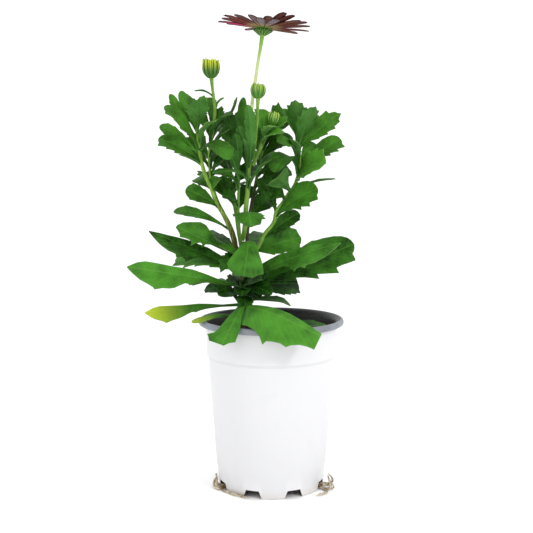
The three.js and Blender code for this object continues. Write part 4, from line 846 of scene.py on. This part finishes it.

# Each branch's tones give the range of its leaves' green; it is set low on the inner and back
# branches as painted shade, and single leaves in shade get a low tone of their own.
BRANCHES = {
    # At the left, brown and bare below, with a tuft of leaves to the left at its top.
    "leafy_stem_left": {
        "radii": (1.7, 1.3), "finish": ageing_stem, "seed": 140, "tones": (0.25, 0.8),
        "stem": [
            (-25, -0.5, 177), (-26.6, -1.2, 180), (-28.6, -2, 187), (-31, -3, 194), (-35, -5, 203),
            (-40, -6, 212), (-44, -7, 223), (-48, -7.5, 232), (-50.5, -8, 241), (-52, -8, 250),
            (-53, -8, 259), (-54, -8, 267),
        ],
        "leaves": [
            Leaf(4.6, (-62, -12, 222), 13, "plain", 2, -62, fold=8, tone=0.2),
            Leaf(2.7, (-73, 12, 205), 9, "plain", 6, -45, tone=0.35),
            Leaf(8, (-81, -15, 258), 13, "saw", 3, -55, flip=True),
            Leaf(7.8, (-68, 4, 247), 6, "plain", 1),
            Leaf(8.6, (-81, -3, 268), 9, "plain", 3, -60),
            Leaf(9, (-75.9, -23, 280.1), 16, "saw", 3, -50, fold=12),
            Leaf(9.8, (-73, -10, 290), 8, "notched", -2, -55),
            Leaf(10.2, (-66, -1, 293), 8, "notched", -1, -60),
            Leaf(10.4, (-49.4, -22, 286.7), 15, "toothed", 3, 10, fold=10),
            Leaf(10.7, (-59, -13, 289), 11, "toothed", 1),
            Leaf(10.8, (-49, 2, 290), 12, "toothed", 2),
            Leaf(9, (-29, -29, 243), 15, "plain", 8, 24, tone=0.1),
            Leaf(6.6, (-54, 6, 229), 10, "notched", 2, -40),
            Leaf(9.5, (-39.4, -20, 270.4), 13, "plain", 3, 20),
            Leaf(5.6, (-37.4, -6, 230), 12, "plain", 3, 30),
        ],
    },
    # Behind it, the branch that carries the tallest bud.
    "leafy_stem_left_back": {
        "radii": (1.5, 1.1), "finish": ageing_stem, "seed": 180, "tones": (-0.2, 0.35),
        "stem": [
            (-24.1, 2.5, 171.4), (-25.6, 4, 175), (-27, 5.5, 184), (-30.5, 8.5, 194),
            (-36, 11, 204), (-41, 13, 214), (-44.5, 14, 226), (-46, 13.5, 238), (-46, 12, 250),
            (-44, 10, 261), (-42, 8, 272),
        ],
        "leaves": [
            Leaf(8.2, (-27.9, -2, 276.3), 15, "plain", 6, 30),
            Leaf(9.6, (-25, 4, 289), 8, "plain", -4, 20),
            Leaf(5.4, (-55.3, 30, 230.3), 13, "notched", 4, -40),
            Leaf(6.4, (-31, 6, 246), 14, "plain", 3, 45),
            Leaf(7.6, (-29.4, -2, 266.2), 15, "plain", 3, 40),
            Leaf(4.4, (-52.6, 2, 229.9), 8, "notched", 2, -40),
            Leaf(6.2, (-50, 40, 229), 15, "notched", 4),
            Leaf(7, (-68, 16, 258), 12, "notched", 3, -50),
            Leaf(7.6, (-60, 32, 262), 14, "plain", 3, -40),
            Leaf(8.4, (-42, 34, 272), 13, "notched", 3),
            Leaf(9, (-60, 14, 282), 12, "plain", 2, -40),
            Leaf(9.4, (-46, 24, 290), 8, "notched", 2),
            Leaf(6.9, (-33.6, 10, 253.5), 14, "plain", 3, 30),
            Leaf(8.8, (-36.8, 18, 283.3), 10, "toothed", 1, 20),
        ],
    },
    # The branch that leans away at the back.
    "leafy_stem_back": {
        "radii": (1.5, 1.1), "finish": green_stem, "seed": 220, "tones": (-0.3, 0.2),
        "stem": [
            (-22.4, 3.7, 178.4), (-22.9, 5, 181.5), (-24.5, 8, 190), (-26, 13, 200), (-28, 18, 211),
            (-30, 23, 222), (-31, 27, 233), (-31, 29, 244), (-30, 30, 254),
        ],
        "leaves": [
            Leaf(3.8, (-42, 22, 229), 14, "saw", 2, -50),
            Leaf(4.4, (-28, 56, 222), 16, "plain", 5),
            Leaf(5.2, (-6, 46, 236), 16, "notched", 4, 30),
            Leaf(6, (-50, 56, 250), 15, "plain", 4, -30),
            Leaf(6.8, (-30, 62, 256), 15, "notched", 4),
            Leaf(6.3, (-20, 18, 264), 15, "plain", 3, 30),
            Leaf(7.6, (-42, 50, 272), 13, "notched", 2),
            Leaf(7.8, (-16, 40, 280), 12, "notched", 2),
            Leaf(7.5, (-31, 13, 277), 13, "plain", 2),
            Leaf(4.7, (-14, 18, 240), 14, "plain", 3, 40),
            Leaf(6.6, (-25.1, 24, 259.8), 14, "plain", 2, 20),
            Leaf(5.5, (-39.4, 22, 250), 14, "plain", 3, -40),
            Leaf(3.3, (-15.4, 30, 223.4), 12, "notched", 3, 30),
        ],
    },
    # A short weak shoot in the middle of the plant.
    "leafy_stem_inner": {
        "radii": (1.2, 0.9), "finish": green_stem, "seed": 260, "tones": (-0.3, 0.25),
        "stem": [
            (-22.1, -3.6, 177.6), (-22.6, -5.2, 181), (-23.2, -7, 190), (-24, -8.5, 202),
            (-24, -9, 214), (-23.5, -9, 226), (-24, -8, 236),
        ],
        "leaves": [
            Leaf(4.6, (-40, -14, 233), 10, "plain", 5, -30),
            Leaf(5.2, (-32, -20, 253), 11, "notched", 2),
            Leaf(5.6, (-34, 2, 252), 12, "plain", 2),
            Leaf(5.8, (-26, -12, 262), 8, "notched", 2),
            Leaf(3.6, (-35.6, -14, 217.1), 12, "saw", 3, -40),
        ],
    },
    # The thick sappy shoot in the centre, which carries the flower and a bud.
    "leafy_stem_center": {
        "radii": (1.9, 1.5), "finish": sappy_stem, "seed": 300, "tones": (0, 0.4),
        "stem": [
            (-21.5, 0, 184.2), (-20, -2, 190), (-19, -3.5, 200), (-18.5, -4.5, 209),
            (-17.5, -5, 218), (-17, -5, 227), (-16.5, -5, 236), (-15.5, -5, 244), (-15, -5, 250),
        ],
        "leaves": [
            Leaf(1.6, (-14.3, -38, 196.2), 20, "broad", 10, fold=-8),
            Leaf(6.2, (-20, -14, 258.3), 14, "toothed", 1, -20, tone=0.6),
            Leaf(6.2, (-16.8, -18, 282), 8, "notched", -5, -10, sway=-3, tone=0.05),
            Leaf(6.6, (-20.2, 4, 288.8), 7, "notched", 0, -30, sway=-3, tone=0.1),
            Leaf(7, (-26, 10, 278), 7, "plain", 1),
            Leaf(6.4, (-35, 14, 264), 14, "notched", 3, -20),
            Leaf(4.3, (0, -22, 243), 11, "notched", 3, 30),
            Leaf(5.4, (-23, -15, 267), 11, "plain", 2),
            Leaf(4.6, (-42, -27, 233.7), 9, "plain", 7, -10, sway=-7),
        ],
    },
    # The branch at the back right.
    "leafy_stem_right_back": {
        "radii": (1.5, 1.1), "finish": dark_bark_and_shade_stem, "seed": 340, "tones": (-0.25, 0.3),
        "stem": [
            (-18.7, 2.9, 175.4), (-17.9, 4.2, 178.5), (-18, 6, 186), (-17, 9, 197), (-15, 12, 208),
            (-13, 15, 219), (-11, 18, 229), (-9, 20, 240), (-6, 21, 251), (-3, 21, 261),
        ],
        "leaves": [
            Leaf(3.3, (0, 24, 214), 16, "plain", 4, 45),
            Leaf(4.2, (-4, 46, 214), 15, "plain", 4),
            Leaf(5.4, (14, 26, 236), 16, "plain", 4, 50),
            Leaf(6.6, (6, 44, 248), 15, "notched", 3, 20),
            Leaf(7.4, (15.8, 22, 260.5), 15, "notched", 3, 45),
            Leaf(6.9, (-19, 12, 255), 12, "notched", 2, -30),
            Leaf(8.2, (4, 36, 272), 13, "plain", 2),
            Leaf(8.4, (-14, 18, 276), 11, "notched", 2, tone=-0.1),
            Leaf(8.6, (6, 14, 284), 13, "saw", 2, 20),
            Leaf(7.9, (14, 12, 271), 14, "notched", 3, 45),
            Leaf(4.8, (8.2, 18, 225.9), 13, "plain", 4, 50),
            Leaf(6.2, (14.2, 18, 243.2), 14, "plain", 3, 45),
            Leaf(7.2, (-6.8, 12, 268.3), 13, "plain", 2),
        ],
    },
    # At the right, the leafiest, with a rosette of young leaves at its top.
    "leafy_stem_right": {
        "radii": (1.8, 1.2), "finish": sappy_stem, "seed": 380, "tones": (0, 0.6),
        "stem": [
            (-17.2, 0.8, 165.5), (-15.4, 1.3, 169), (-12.6, 2, 174.5), (-9, 2, 180), (-5, 3, 188),
            (2, 4, 197), (4, 4, 205), (9, 4, 212), (12, 3, 217), (16, 3, 222), (19, 2, 229),
            (20.5, 2, 238), (20.5, 2, 247), (19.5, 2, 255), (19, 2, 263),
        ],
        "leaves": [
            Leaf(2.2, (22.3, 6, 185.2), 20, "broad", 3, 62, tone=0.45),
            Leaf(5.6, (34, -8, 222), 22, "saw", 3, 56, flip=True, tone=0.4),
            Leaf(5.9, (-8, 7, 230), 13, "plain", 3, -50, tone=0),
            Leaf(8.6, (4, -16, 230), 18, "plain", 3, 45, tone=0.65),
            Leaf(8.8, (48, 10, 229), 6, "notched", 2),
            Leaf(10, (38.9, -20, 240.8), 25, "broad", 4, 50, tone=0.85),
            Leaf(10.5, (2, -24, 234), 18, "plain", 12, -10, tone=-0.1),
            Leaf(11, (14, -8, 258), 11, "plain", 1, -20),
            Leaf(11.4, (33, 10, 255), 11, "plain", 2, 40),
            Leaf(11.2, (51.7, 8, 258.2), 14, "saw", 1, 55, flip=True, tone=0.3),
            Leaf(12.6, (51, 2, 277), 16, "toothed", 2, 60, tone=0.3),
            Leaf(12.9, (32, -13, 281), 15, "toothed", 2, -10, tone=0.1),
            Leaf(13.4, (28, 12, 281), 9, "plain", 1),
            Leaf(13.6, (17, -9, 286), 14, "toothed", 2, tone=0.1),
            Leaf(13.2, (7, 5, 280), 12, "plain", 3, -30),
            Leaf(12.2, (4, -11, 256), 12, "plain", 3, -40),
            Leaf(9.4, (36, 26, 240), 13, "plain", 4),
            Leaf(7.4, (0.6, 4, 216.6), 13, "plain", 5, -50, tone=0),
            Leaf(3.6, (20.8, 10, 203.7), 12, "plain", 3, 60, tone=-0.1),
            Leaf(10.8, (25.8, 8, 243.1), 14, "notched", 2, 40),
            Leaf(12.4, (27.9, 8, 266.6), 14, "plain", 2, 40),
        ],
    },
}

for node, branch in BRANCHES.items():
    foliage = leafy_piece(node + "_foliage", **branch)
    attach(foliage, "root")
    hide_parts(node)

# ------------ flower stalk and calyx
# A bare round stalk, sappy green at the top and pale where light never reached it, widens
# into the calyx: a green cup of narrow pointed bracts in two turns, joined at their feet.
FLOWER_STALK = [
    (-15, -5, 250.35), (-15, -5, 262), (-14.5, -5, 272), (-14, -4.5, 283), (-12.5, -4, 295),
    (-10.8, -4, 305), (-9.5, -4, 314), (-7.9, -4, 323), (-6.6, -4, 332.2),
]
STALK_RADII = [1.35, 1.3, 1.3, 1.25, 1.25, 1.2, 1.15, 1.2, 1.6]
CALYX_CUP = [
    (0, -0.2), (1.3, -0.2), (1.9, 0.5), (3.1, 1.3), (4.3, 2.3), (5, 3.2), (5.4, 3.9), (5.6, 4.6),
    (0, 4.6),
]
OUTER_BRACT = [
    (1.7, 0.5, 0.55), (3.3, 1.6, 0.9), (4.8, 2.8, 1.15), (5.8, 3.7, 1.1), (6.6, 4.2, 0.75),
    (7.4, 4.4, 0.12),
]
INNER_BRACT = [
    (2.2, 0.5, 0.5), (3.9, 1.6, 0.8), (5.2, 2.7, 0.95), (6.1, 3.4, 0.7), (6.9, 3.7, 0.1),
]
BRACTS_PER_TURN = 13
HEAD_LEAN_BACK, HEAD_LEAN_RIGHT = math.radians(-4), math.radians(5.5)
HEAD_PLACE = (
    Matrix.Translation((-6.6, -4, 331.8))
    @ Matrix.Rotation(HEAD_LEAN_BACK, 4, "X") @ Matrix.Rotation(HEAD_LEAN_RIGHT, 4, "Y")
)


def in_metres(place_in_mm):
    to_metres = place_in_mm.copy()
    to_metres.translation *= MM
    return to_metres


# A narrow blade on one meridian: stations of (radius, height, half width), root to tip. It is
# hollow along its inner face by "cup" mm, and its half width is rounded by "bulge" mm.
def bract(stations, angle, place, finish, cup=0.0, bulge=0.0, thickness=0.5, columns=7):
    rows = [[a + (b - a) * k / 3 for a, b in zip(start, end)]
            for start, end in zip(stations, stations[1:]) for k in range(3)]
    rows.append(stations[-1])
    last = len(rows) - 1
    pick()
    bpy.ops.mesh.primitive_grid_add(x_subdivisions=columns - 1, y_subdivisions=last, size=2)
    blade = bpy.context.object
    out = Vector((math.cos(angle), math.sin(angle), 0))
    along_ring = Vector((math.sin(angle), -math.cos(angle), 0))
    spots = []
    for number, vertex in enumerate(blade.data.vertices):
        c = vertex.co.x
        row = number // columns
        radius, height, half = rows[row]
        before, after = rows[max(row - 1, 0)], rows[min(row + 1, last)]
        slope = Vector((after[0] - before[0], 0, after[1] - before[1])).normalized()
        outward = out * slope.z - Vector((0, 0, slope.x))
        push = bulge * (1 - c * c) - cup * c * c * min(1, half)
        spot = out * radius + Vector((0, 0, height)) + along_ring * c * half + outward * push
        vertex.co = spot * MM
        spots.append((c, row / last, 0))
    store(blade.data, "leaf_place", spots)
    blade.data.transform(in_metres(place))
    blade.data.flip_normals()
    blade.data.materials.append(finish)
    thicken(blade, thickness, 0, 0)
    return blade


# The stalk's skin, smooth and moist, pales from sap green to straw below.
stalk_skin = new_material("flower_stalk_skin", Roughness=0.45, IOR=1.42)
where = add_node(stalk_skin, "TexCoord").outputs["Object"]
level = add_node(stalk_skin, "SeparateXYZ", where).outputs["Z"]
greening = add_node(stalk_skin, "MapRange", level, 0.308, 0.326)
streak = add_node(stalk_skin, "TexNoise", Vector=where, Scale=300.0, Detail=2.0)
pale_tint = add_node(stalk_skin, "MixRGB", streak, "#b3c478", "#d3dca4")
coat(stalk_skin, Base_Color=add_node(stalk_skin, "MixRGB", greening, pale_tint, "#7cab3c"))

# Bract skin: sap green with a pale keel, and painted shade darkening the grooves on either side of
# it.
bract_skin = new_material("green_bract_skin", Roughness=0.5, IOR=1.42)
place = add_node(bract_skin, "Attribute", attribute_name="leaf_place").outputs["Vector"]
aside, along, _ = add_node(bract_skin, "SeparateXYZ", place).outputs
across = add_node(bract_skin, "Math", aside, operation="ABSOLUTE")
# Painted shade: each bract darkens towards its sides, where it sinks into the groove beside the
# next.
groove_shade = add_node(
    bract_skin, "MapRange", across, 0.3, 0.8, 0.0, 0.92, interpolation_type="SMOOTHSTEP",
)
keel = add_node(bract_skin, "MixRGB", along, "#6a9a3a", "#3d6a22")
coat(bract_skin, Base_Color=add_node(bract_skin, "MixRGB", groove_shade, keel, "#12300a"))

stalk = rod(FLOWER_STALK, STALK_RADII, stalk_skin, sides=5, steps=6)
cup = turn("cup", CALYX_CUP, 36)
cup.data.transform(in_metres(HEAD_PLACE))
cup.data.materials.append(bract_skin)
calyx = [stalk, cup]
for i in range(BRACTS_PER_TURN):
    for offset, stations in ((0, OUTER_BRACT), (0.5, INNER_BRACT)):
        angle = 2 * math.pi * (i + offset) / BRACTS_PER_TURN + 0.1
        calyx.append(bract(stations, angle, HEAD_PLACE, bract_skin, cup=0.25, bulge=0.15))
flower_stalk = gather("flower_stalk_and_calyx", calyx, 50)
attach(flower_stalk, "root")
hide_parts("flower_stalk")

# ------------ ray florets
# Twenty-two thin strap petals with three shallow pleats and three blunt teeth at the tip.
# Below they are red-brown on a cream foot, above a deep silky magenta; painted sheen greys the
# front ones to mauve.
RAYS = [  # (azimuth, degrees that it rises, radius of its tip in mm)
    (-155, 8, 31), (-138, 14, 31), (-121, 9.5, 31.5), (-105, 7.6, 33), (-88, 3.4, 32.5),
    (-72, 6, 31), (-57, 6, 33), (-38, 5.6, 32), (-17, 5.6, 31), (-4, 2, 31),
    (8, 5.4, 31.5), (21, 3.8, 29.5), (29, 14, 32), (41, 12.6, 33), (52, 8.2, 33),
    (66, 8.6, 34.2), (85, 8.8, 34), (105, 6.4, 34.6), (127, 6.2, 31.5), (147, 14, 31),
    (167, 12.5, 31), (186, 14, 31),
]
# Painted sheen: the rays that face the front are greyed towards mauve, as if lit.
SHEEN_PAINTED_RAYS = {-17: 0.55, -4: 1, 21: 0.9}
BRIGHT_RAYS = (-105, -88)
RAY_FOOT_RADIUS, RAY_FOOT_HEIGHT = 4, 5.5
RAY_WIDTH, RAY_THICKNESS = 6.2, 0.42
RAY_COLUMNS, RAY_ROWS = 12, 24
RAY_OUTLINE = [(0, 0.26), (0.12, 0.42), (0.3, 0.72), (0.5, 0.93), (0.65, 1), (0.8, 0.97),
               (0.9, 0.82), (0.96, 0.6), (1, 0.34)]
RAY_TOOTH = 0.035
RECEPTACLE = [(0, 4.7), (5.1, 4.7), (5.7, 5.2), (5.7, 5.8), (5.2, 6.3), (0, 6.3)]

pick()
bpy.ops.mesh.primitive_grid_add(x_subdivisions=RAY_COLUMNS, y_subdivisions=RAY_ROWS, size=2)
ray_blank = bpy.context.object
for vertex in ray_blank.data.vertices:
    c, share = vertex.co.x, (vertex.co.y + 1) / 2
    teeth = RAY_TOOTH * abs(math.sin(1.5 * math.pi * c)) * max(0, share - 0.8) / 0.2
    length = share - (RAY_TOOTH - teeth) * max(0, share - 0.8) / 0.2
    vertex.co = (c * half_at(RAY_OUTLINE, share), length, 0)

rays = []
for number, (azimuth, rise, tip_radius) in enumerate(RAYS):
    length = tip_radius - RAY_FOOT_RADIUS
    angle = math.radians(azimuth - 90)
    tilt = math.radians(rise)
    hue = draw(number + 5.5)
    sheen_grey = SHEEN_PAINTED_RAYS.get(azimuth, 0)
    bright = 1.0 if azimuth in BRIGHT_RAYS else 0.15 * (azimuth < -50)
    curl = 0.5 * (draw(number + 2.2) - 0.35)
    out = Vector((math.cos(angle), math.sin(angle), 0))
    along_ring = Vector((math.sin(angle), -math.cos(angle), 0))
    slope = out * math.cos(tilt) + Vector((0, 0, math.sin(tilt)))
    up = Vector((0, 0, math.cos(tilt))) - out * math.sin(tilt)
    ray = add_copy("ray", ray_blank.data)
    spots, tints = [], []
    for vertex in ray.data.vertices:
        x, share, _ = vertex.co
        c = 2 * (vertex.index % (RAY_COLUMNS + 1)) / RAY_COLUMNS - 1
        bow = 0.35 * math.sin(math.pi * min(1, share / 0.9)) - 0.5 * max(0, share - 0.85) / 0.15
        pleat = 0.22 * math.cos(3 * math.pi * c) * math.sin(math.pi * min(share, 0.95))
        edges = curl * abs(c) ** 3 * share
        twist = 0.5 * (draw(number + 8.8) - 0.5) * share * x
        spot = out * RAY_FOOT_RADIUS + Vector((0, 0, RAY_FOOT_HEIGHT)) + slope * length * share
        spot += along_ring * x * RAY_WIDTH / 2 + up * (bow + pleat + edges + twist)
        vertex.co = spot * MM
        spots.append((c, share, bright))
        tints.append((hue, sheen_grey, abs(c)))
    store(ray.data, "ray_place", spots)
    store(ray.data, "ray_tint", tints)
    rays.append(ray)
bpy.data.objects.remove(ray_blank)


# Petal skin, silky, with fine lengthwise veins 0.8 mm apart and a darker edge.
def petal_skin(name, foot, body, warm, sheen_grey, tip, edge):
    skin = new_material(name, Roughness=0.55, Specular_IOR_Level=0.12, Sheen_Weight=0.03)
    place = add_node(skin, "Attribute", attribute_name="ray_place").outputs["Vector"]
    look = add_node(skin, "Attribute", attribute_name="ray_tint").outputs["Vector"]
    _, along, bright = add_node(skin, "SeparateXYZ", place).outputs
    hue, sheen_share, aside = add_node(skin, "SeparateXYZ", look).outputs
    drawn = add_node(skin, "Mapping", Vector=place, Scale=(9.0, 1.6, 0.0))
    streak = add_node(skin, "TexNoise", Vector=drawn, Scale=1.0, Detail=3.0)
    warmed = add_node(skin, "MixRGB", hue, body, warm)
    reddened = add_node(skin, "MixRGB", bright, warmed, "#b8305e")
    # Painted sheen: the front rays are greyed, silvery mauve below and paler magenta above.
    sheen_greyed = add_node(skin, "MixRGB", sheen_share, reddened, sheen_grey)
    to_tip = add_node(
        skin, "MapRange", along, 0.62, 1.0, 0.0, 0.8, interpolation_type="SMOOTHSTEP",
    )
    tipped = add_node(skin, "MixRGB", to_tip, sheen_greyed, tip)
    to_foot = add_node(
        skin, "MapRange", along, 0.1, 0.42, 0.9, 0.0, interpolation_type="SMOOTHSTEP",
    )
    footed = add_node(skin, "MixRGB", to_foot, tipped, foot)
    lines = add_node(skin, "MapRange", streak, 0.4, 0.7, 0.0, 0.45)
    lined = add_node(skin, "MixRGB", lines, footed, edge)
    to_edge = add_node(
        skin, "MapRange", aside, 0.7, 1.0, 0.0, 0.75, interpolation_type="SMOOTHSTEP",
    )
    edged = add_node(skin, "MixRGB", to_edge, lined, edge)
    relief = add_node(skin, "Bump", Height=streak, Strength=0.35, Distance=0.0004)
    return coat(skin, Base_Color=edged, Normal=relief)


petal_top = petal_skin(
    "magenta_petal_upper_skin", "#7a3a5c", "#a3305f", "#8a2450", "#9a3a68", "#b8487a", "#5a1a3c",
)
petal_back = petal_skin(
    "red_brown_petal_lower_skin_with_painted_sheen", "#b8a070", "#5a241f", "#6b3214", "#85737a", "#3f131a", "#2c0a10",
)
for ray in rays:
    ray.data.materials.append(petal_top)
    ray.data.materials.append(petal_back)
pick(*rays)
bpy.ops.object.join()
ray_ring = bpy.context.object
thicken(ray_ring, RAY_THICKNESS, 1, 1)
receptacle = turn("receptacle", RECEPTACLE, 44)
receptacle.data.materials.append(bract_skin)
for part in (ray_ring, receptacle):
    part.data.transform(in_metres(HEAD_PLACE))
flower_rays = gather("ray_petals", [ray_ring, receptacle], 60)
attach(flower_rays, "root")
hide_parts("flower_rays")

# ------------ disc florets
# The eye: a low dome of close-set tubular florets. The closed inner ones are dark violet-blue
# beads, and the open ones in the outer turns show yellow pollen.
EYE = [
    (0, 6.5), (5.4, 6.5), (5.4, 6.9), (5.3, 7.5), (4.6, 8.3), (3.7, 8.9), (2.7, 9.3), (1.5, 9.6),
    (0, 9.7),
]
EYE_TOP = 9.7
FLORETS = 110
FLORET_SPREAD, OPEN_FROM = 5.0, 3.6
FLORET_RADIUS, FLORET_LENGTH, FLORET_CAP = 0.42, 1.5, 0.35
GOLDEN_ANGLE = 2.39996

# Dark velvety petal tubes, and dry powdery pollen.
violet = mottled("violet_disc_floret", 700.0, "#1c1436", "#4a3578", Roughness=0.45)
pollen = mottled("yellow_pollen", 1500.0, "#c98a1c", "#f0c63c", Roughness=0.85)

eye = turn("eye", EYE, 40)
eye.data.materials.append(violet)
pick()
bpy.ops.mesh.primitive_cylinder_add(
    vertices=6, radius=FLORET_RADIUS * MM, depth=FLORET_LENGTH * MM,
)
floret_blank = bpy.context.object
bpy.ops.object.mode_set(mode="EDIT")
bpy.ops.mesh.select_all(action="DESELECT")
bpy.ops.object.mode_set(mode="OBJECT")
for face in floret_blank.data.polygons:
    face.select = face.normal.z > 0.9
bpy.ops.object.mode_set(mode="EDIT")
bpy.ops.mesh.extrude_region_move(TRANSFORM_OT_translate={"value": (0, 0, FLORET_CAP * MM)})
bpy.ops.transform.resize(value=(0.45, 0.45, 1))
bpy.ops.object.mode_set(mode="OBJECT")
florets = [eye]
for i in range(FLORETS):
    radius = FLORET_SPREAD * math.sqrt((i + 0.5) / FLORETS)
    turned = i * GOLDEN_ANGLE
    height = EYE_TOP - 2.5 * (radius / 5.4) ** 2.4
    sideways = Vector((-math.sin(turned), math.cos(turned), 0))
    lean = Matrix.Rotation(0.55 * radius / FLORET_SPREAD, 4, sideways)
    spot = Vector((radius * math.cos(turned), radius * math.sin(turned), height)) * MM
    size = Matrix.Scale(0.75 + 0.35 * radius / FLORET_SPREAD, 4)
    floret = add_copy("floret", floret_blank.data)
    floret.data.transform(Matrix.Translation(spot) @ lean @ size)
    floret.data.materials.append(pollen if radius > OPEN_FROM and i % 3 != 0 else violet)
    florets.append(floret)
bpy.data.objects.remove(floret_blank)
for part in florets:
    part.data.transform(in_metres(HEAD_PLACE))
flower_disc = gather("disc_florets", florets, 35)
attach(flower_disc, "root")
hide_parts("flower_disc")

# ------------ buds
# Closed heads on bare green stalks. Thick finger-like bracts stand close round a dark core of
# furled petals; they are green at the foot and yellow-green at their rounded tips.
def bud_skin(name, foot, tip):
    skin = new_material(name, Roughness=0.42, IOR=1.42)
    place = add_node(skin, "Attribute", attribute_name="leaf_place").outputs["Vector"]
    aside, along, _ = add_node(skin, "SeparateXYZ", place).outputs
    rising = add_node(skin, "MapRange", along, 0.25, 0.8, interpolation_type="SMOOTHSTEP")
    body = add_node(skin, "MixRGB", rising, foot, tip)
    across = add_node(skin, "Math", aside, operation="ABSOLUTE")
    # Painted shade: each bract darkens to near black at its sides, in the gaps between neighbouring
    # bracts.
    groove_shade = add_node(
        skin, "MapRange", across, 0.4, 0.9, 0.0, 0.92, interpolation_type="SMOOTHSTEP",
    )
    groove_shaded = add_node(skin, "MixRGB", groove_shade, body, "#16330a")
    where = add_node(skin, "TexCoord").outputs["Object"]
    pores = add_node(skin, "TexNoise", Vector=where, Scale=900.0)
    relief = add_node(skin, "Bump", Height=pores, Strength=0.25, Distance=0.0004)
    return coat(skin, Base_Color=groove_shaded, Normal=relief)


# Plump moist bracts, yellower on the ripe bud, and dry dark petals in the core.
ripe_bud = bud_skin("yellow_green_bud_bract", "#447622", "#bccb26")
fresh_bud = bud_skin("light_green_bud_bract", "#4f882b", "#93b547")
furled = mottled("furled_dark_petals", 500.0, "#2a1a2c", "#5a4436", Roughness=0.5)

BUDS = {
    "bud_left": {
        "stalk": [
            (-42, 8, 272.35), (-41.6, 6.5, 280), (-42.2, 5, 288), (-43.2, 4, 296),
            (-43.8, 3, 303.4),
        ],
        "radii": [1.3, 1.2, 1.1, 1.1, 1.6], "radius": 5.7, "height": 13.4,
        "at": (-43.8, 3, 303), "tilt": -2, "bracts": 11, "closed": 0.06, "skin": ripe_bud,
        "leaves": [
            Leaf(2.2, (-56, 0, 293), 3, "plain", 2),
            Leaf(1.2, (-35, 12, 289), 3, "plain", 1),
        ],
    },
    "bud_center": {
        "stalk": [
            (-13.3, -6.8, 243), (-12.5, -8.5, 250), (-11.2, -11, 260), (-10.2, -13, 272),
            (-9.8, -13.5, 281), (-9.6, -13.5, 287.6),
        ],
        "radii": [1.1, 1.15, 1.1, 1.1, 1.15, 1.6], "radius": 4.7, "height": 9.9,
        "at": (-9.6, -13.5, 287.2), "tilt": 1, "bracts": 9, "closed": 0.22, "skin": fresh_bud,
        "leaves": [],
    },
    "bud_right": {
        "stalk": [
            (-13.4, -3.1, 239), (-12, -3, 243), (-8, -4, 252), (-3.5, -6, 262), (0.5, -7.5, 269),
        ],
        "radii": [1.6, 1.6, 1.6, 1.5, 1.6], "radius": 4, "height": 9,
        "at": (0.5, -7.5, 268.6), "tilt": 12, "bracts": 7, "closed": 0.3, "skin": fresh_bud,
        "leaves": [
            Leaf(3, (5, 0, 285), 12, "toothed", -6, 10, tone=0.35),
            Leaf(2.6, (-7, 1, 280), 11, "saw", 1, tone=0.7),
            Leaf(2.5, (12, -4, 274), 11, "toothed", 2, 45, tone=0.6),
            Leaf(2.2, (9, -17, 262), 12, "toothed", 4, 30, tone=0.8),
            Leaf(2.4, (1.9, -17, 267), 10, "toothed", 2, tone=1),
        ],
    },
}

for seed, (node, bud) in enumerate(BUDS.items()):
    r, h = bud["radius"], bud["height"]
    place = Matrix.Translation(bud["at"]) @ Matrix.Rotation(math.radians(bud["tilt"]), 4, "Y")
    core = turn("core", [
        (0, 0), (0.3 * r, 0), (0.5 * r, 0.05 * h), (0.68 * r, 0.12 * h), (0.82 * r, 0.22 * h),
        (0.88 * r, 0.34 * h), (0.86 * r, 0.48 * h), (0.8 * r, 0.6 * h), (0.64 * r, 0.72 * h),
        (0.4 * r, 0.81 * h), (0, 0.86 * h),
    ], 32)
    core.data.transform(in_metres(place))
    core.data.materials.append(bud["skin"])
    core.data.materials.append(furled)
    for face in core.data.polygons:
        level = (place.inverted() @ (face.center / MM)).z
        face.material_index = int(level > 0.55 * h)
    half = 0.62 * math.pi * r / bud["bracts"]
    parts = [core]
    for i in range(2 * bud["bracts"]):
        wide = (1 - 0.16 * (i % 2)) * r
        top_radius = (0.98 - bud["closed"] - 0.08 * draw(i + 7)) * wide
        top = (0.8 + 0.21 * draw(i + 3)) * h
        stations = [
            (0.32 * wide, 0.02 * h, 0.5 * half), (0.6 * wide, 0.12 * h, 0.75 * half),
            (0.84 * wide, 0.25 * h, 0.95 * half), (0.96 * wide, 0.4 * h, half),
            (0.99 * wide, 0.55 * h, 0.86 * half), (0.97 * wide, 0.7 * h, 0.64 * half),
            (0.5 * (0.95 * wide + top_radius), 0.5 * (0.82 * h + top) - 0.03 * h, 0.48 * half),
            (top_radius, 0.97 * top, 0.3 * half), (top_radius - 0.1, top, 0.06 * half),
        ]
        angle = math.pi * (i + 0.5) / bud["bracts"]
        parts.append(bract(
            stations, angle, place, bud["skin"], bulge=0.62, thickness=0.7, columns=9,
        ))
    stem = rod(bud["stalk"], bud["radii"], sappy_stem, sides=4, steps=6)
    if bud["leaves"]:
        parts.append(leafy_piece(
            "leaves", bud["stalk"], (0.9, 0.9), sappy_stem, bud["leaves"], 500 + 20 * seed,
            (0.1, 0.6),
        ))
    bud_head = gather(node + "_head", [stem, *parts], 50)
    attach(bud_head, "root")
    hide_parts(node)
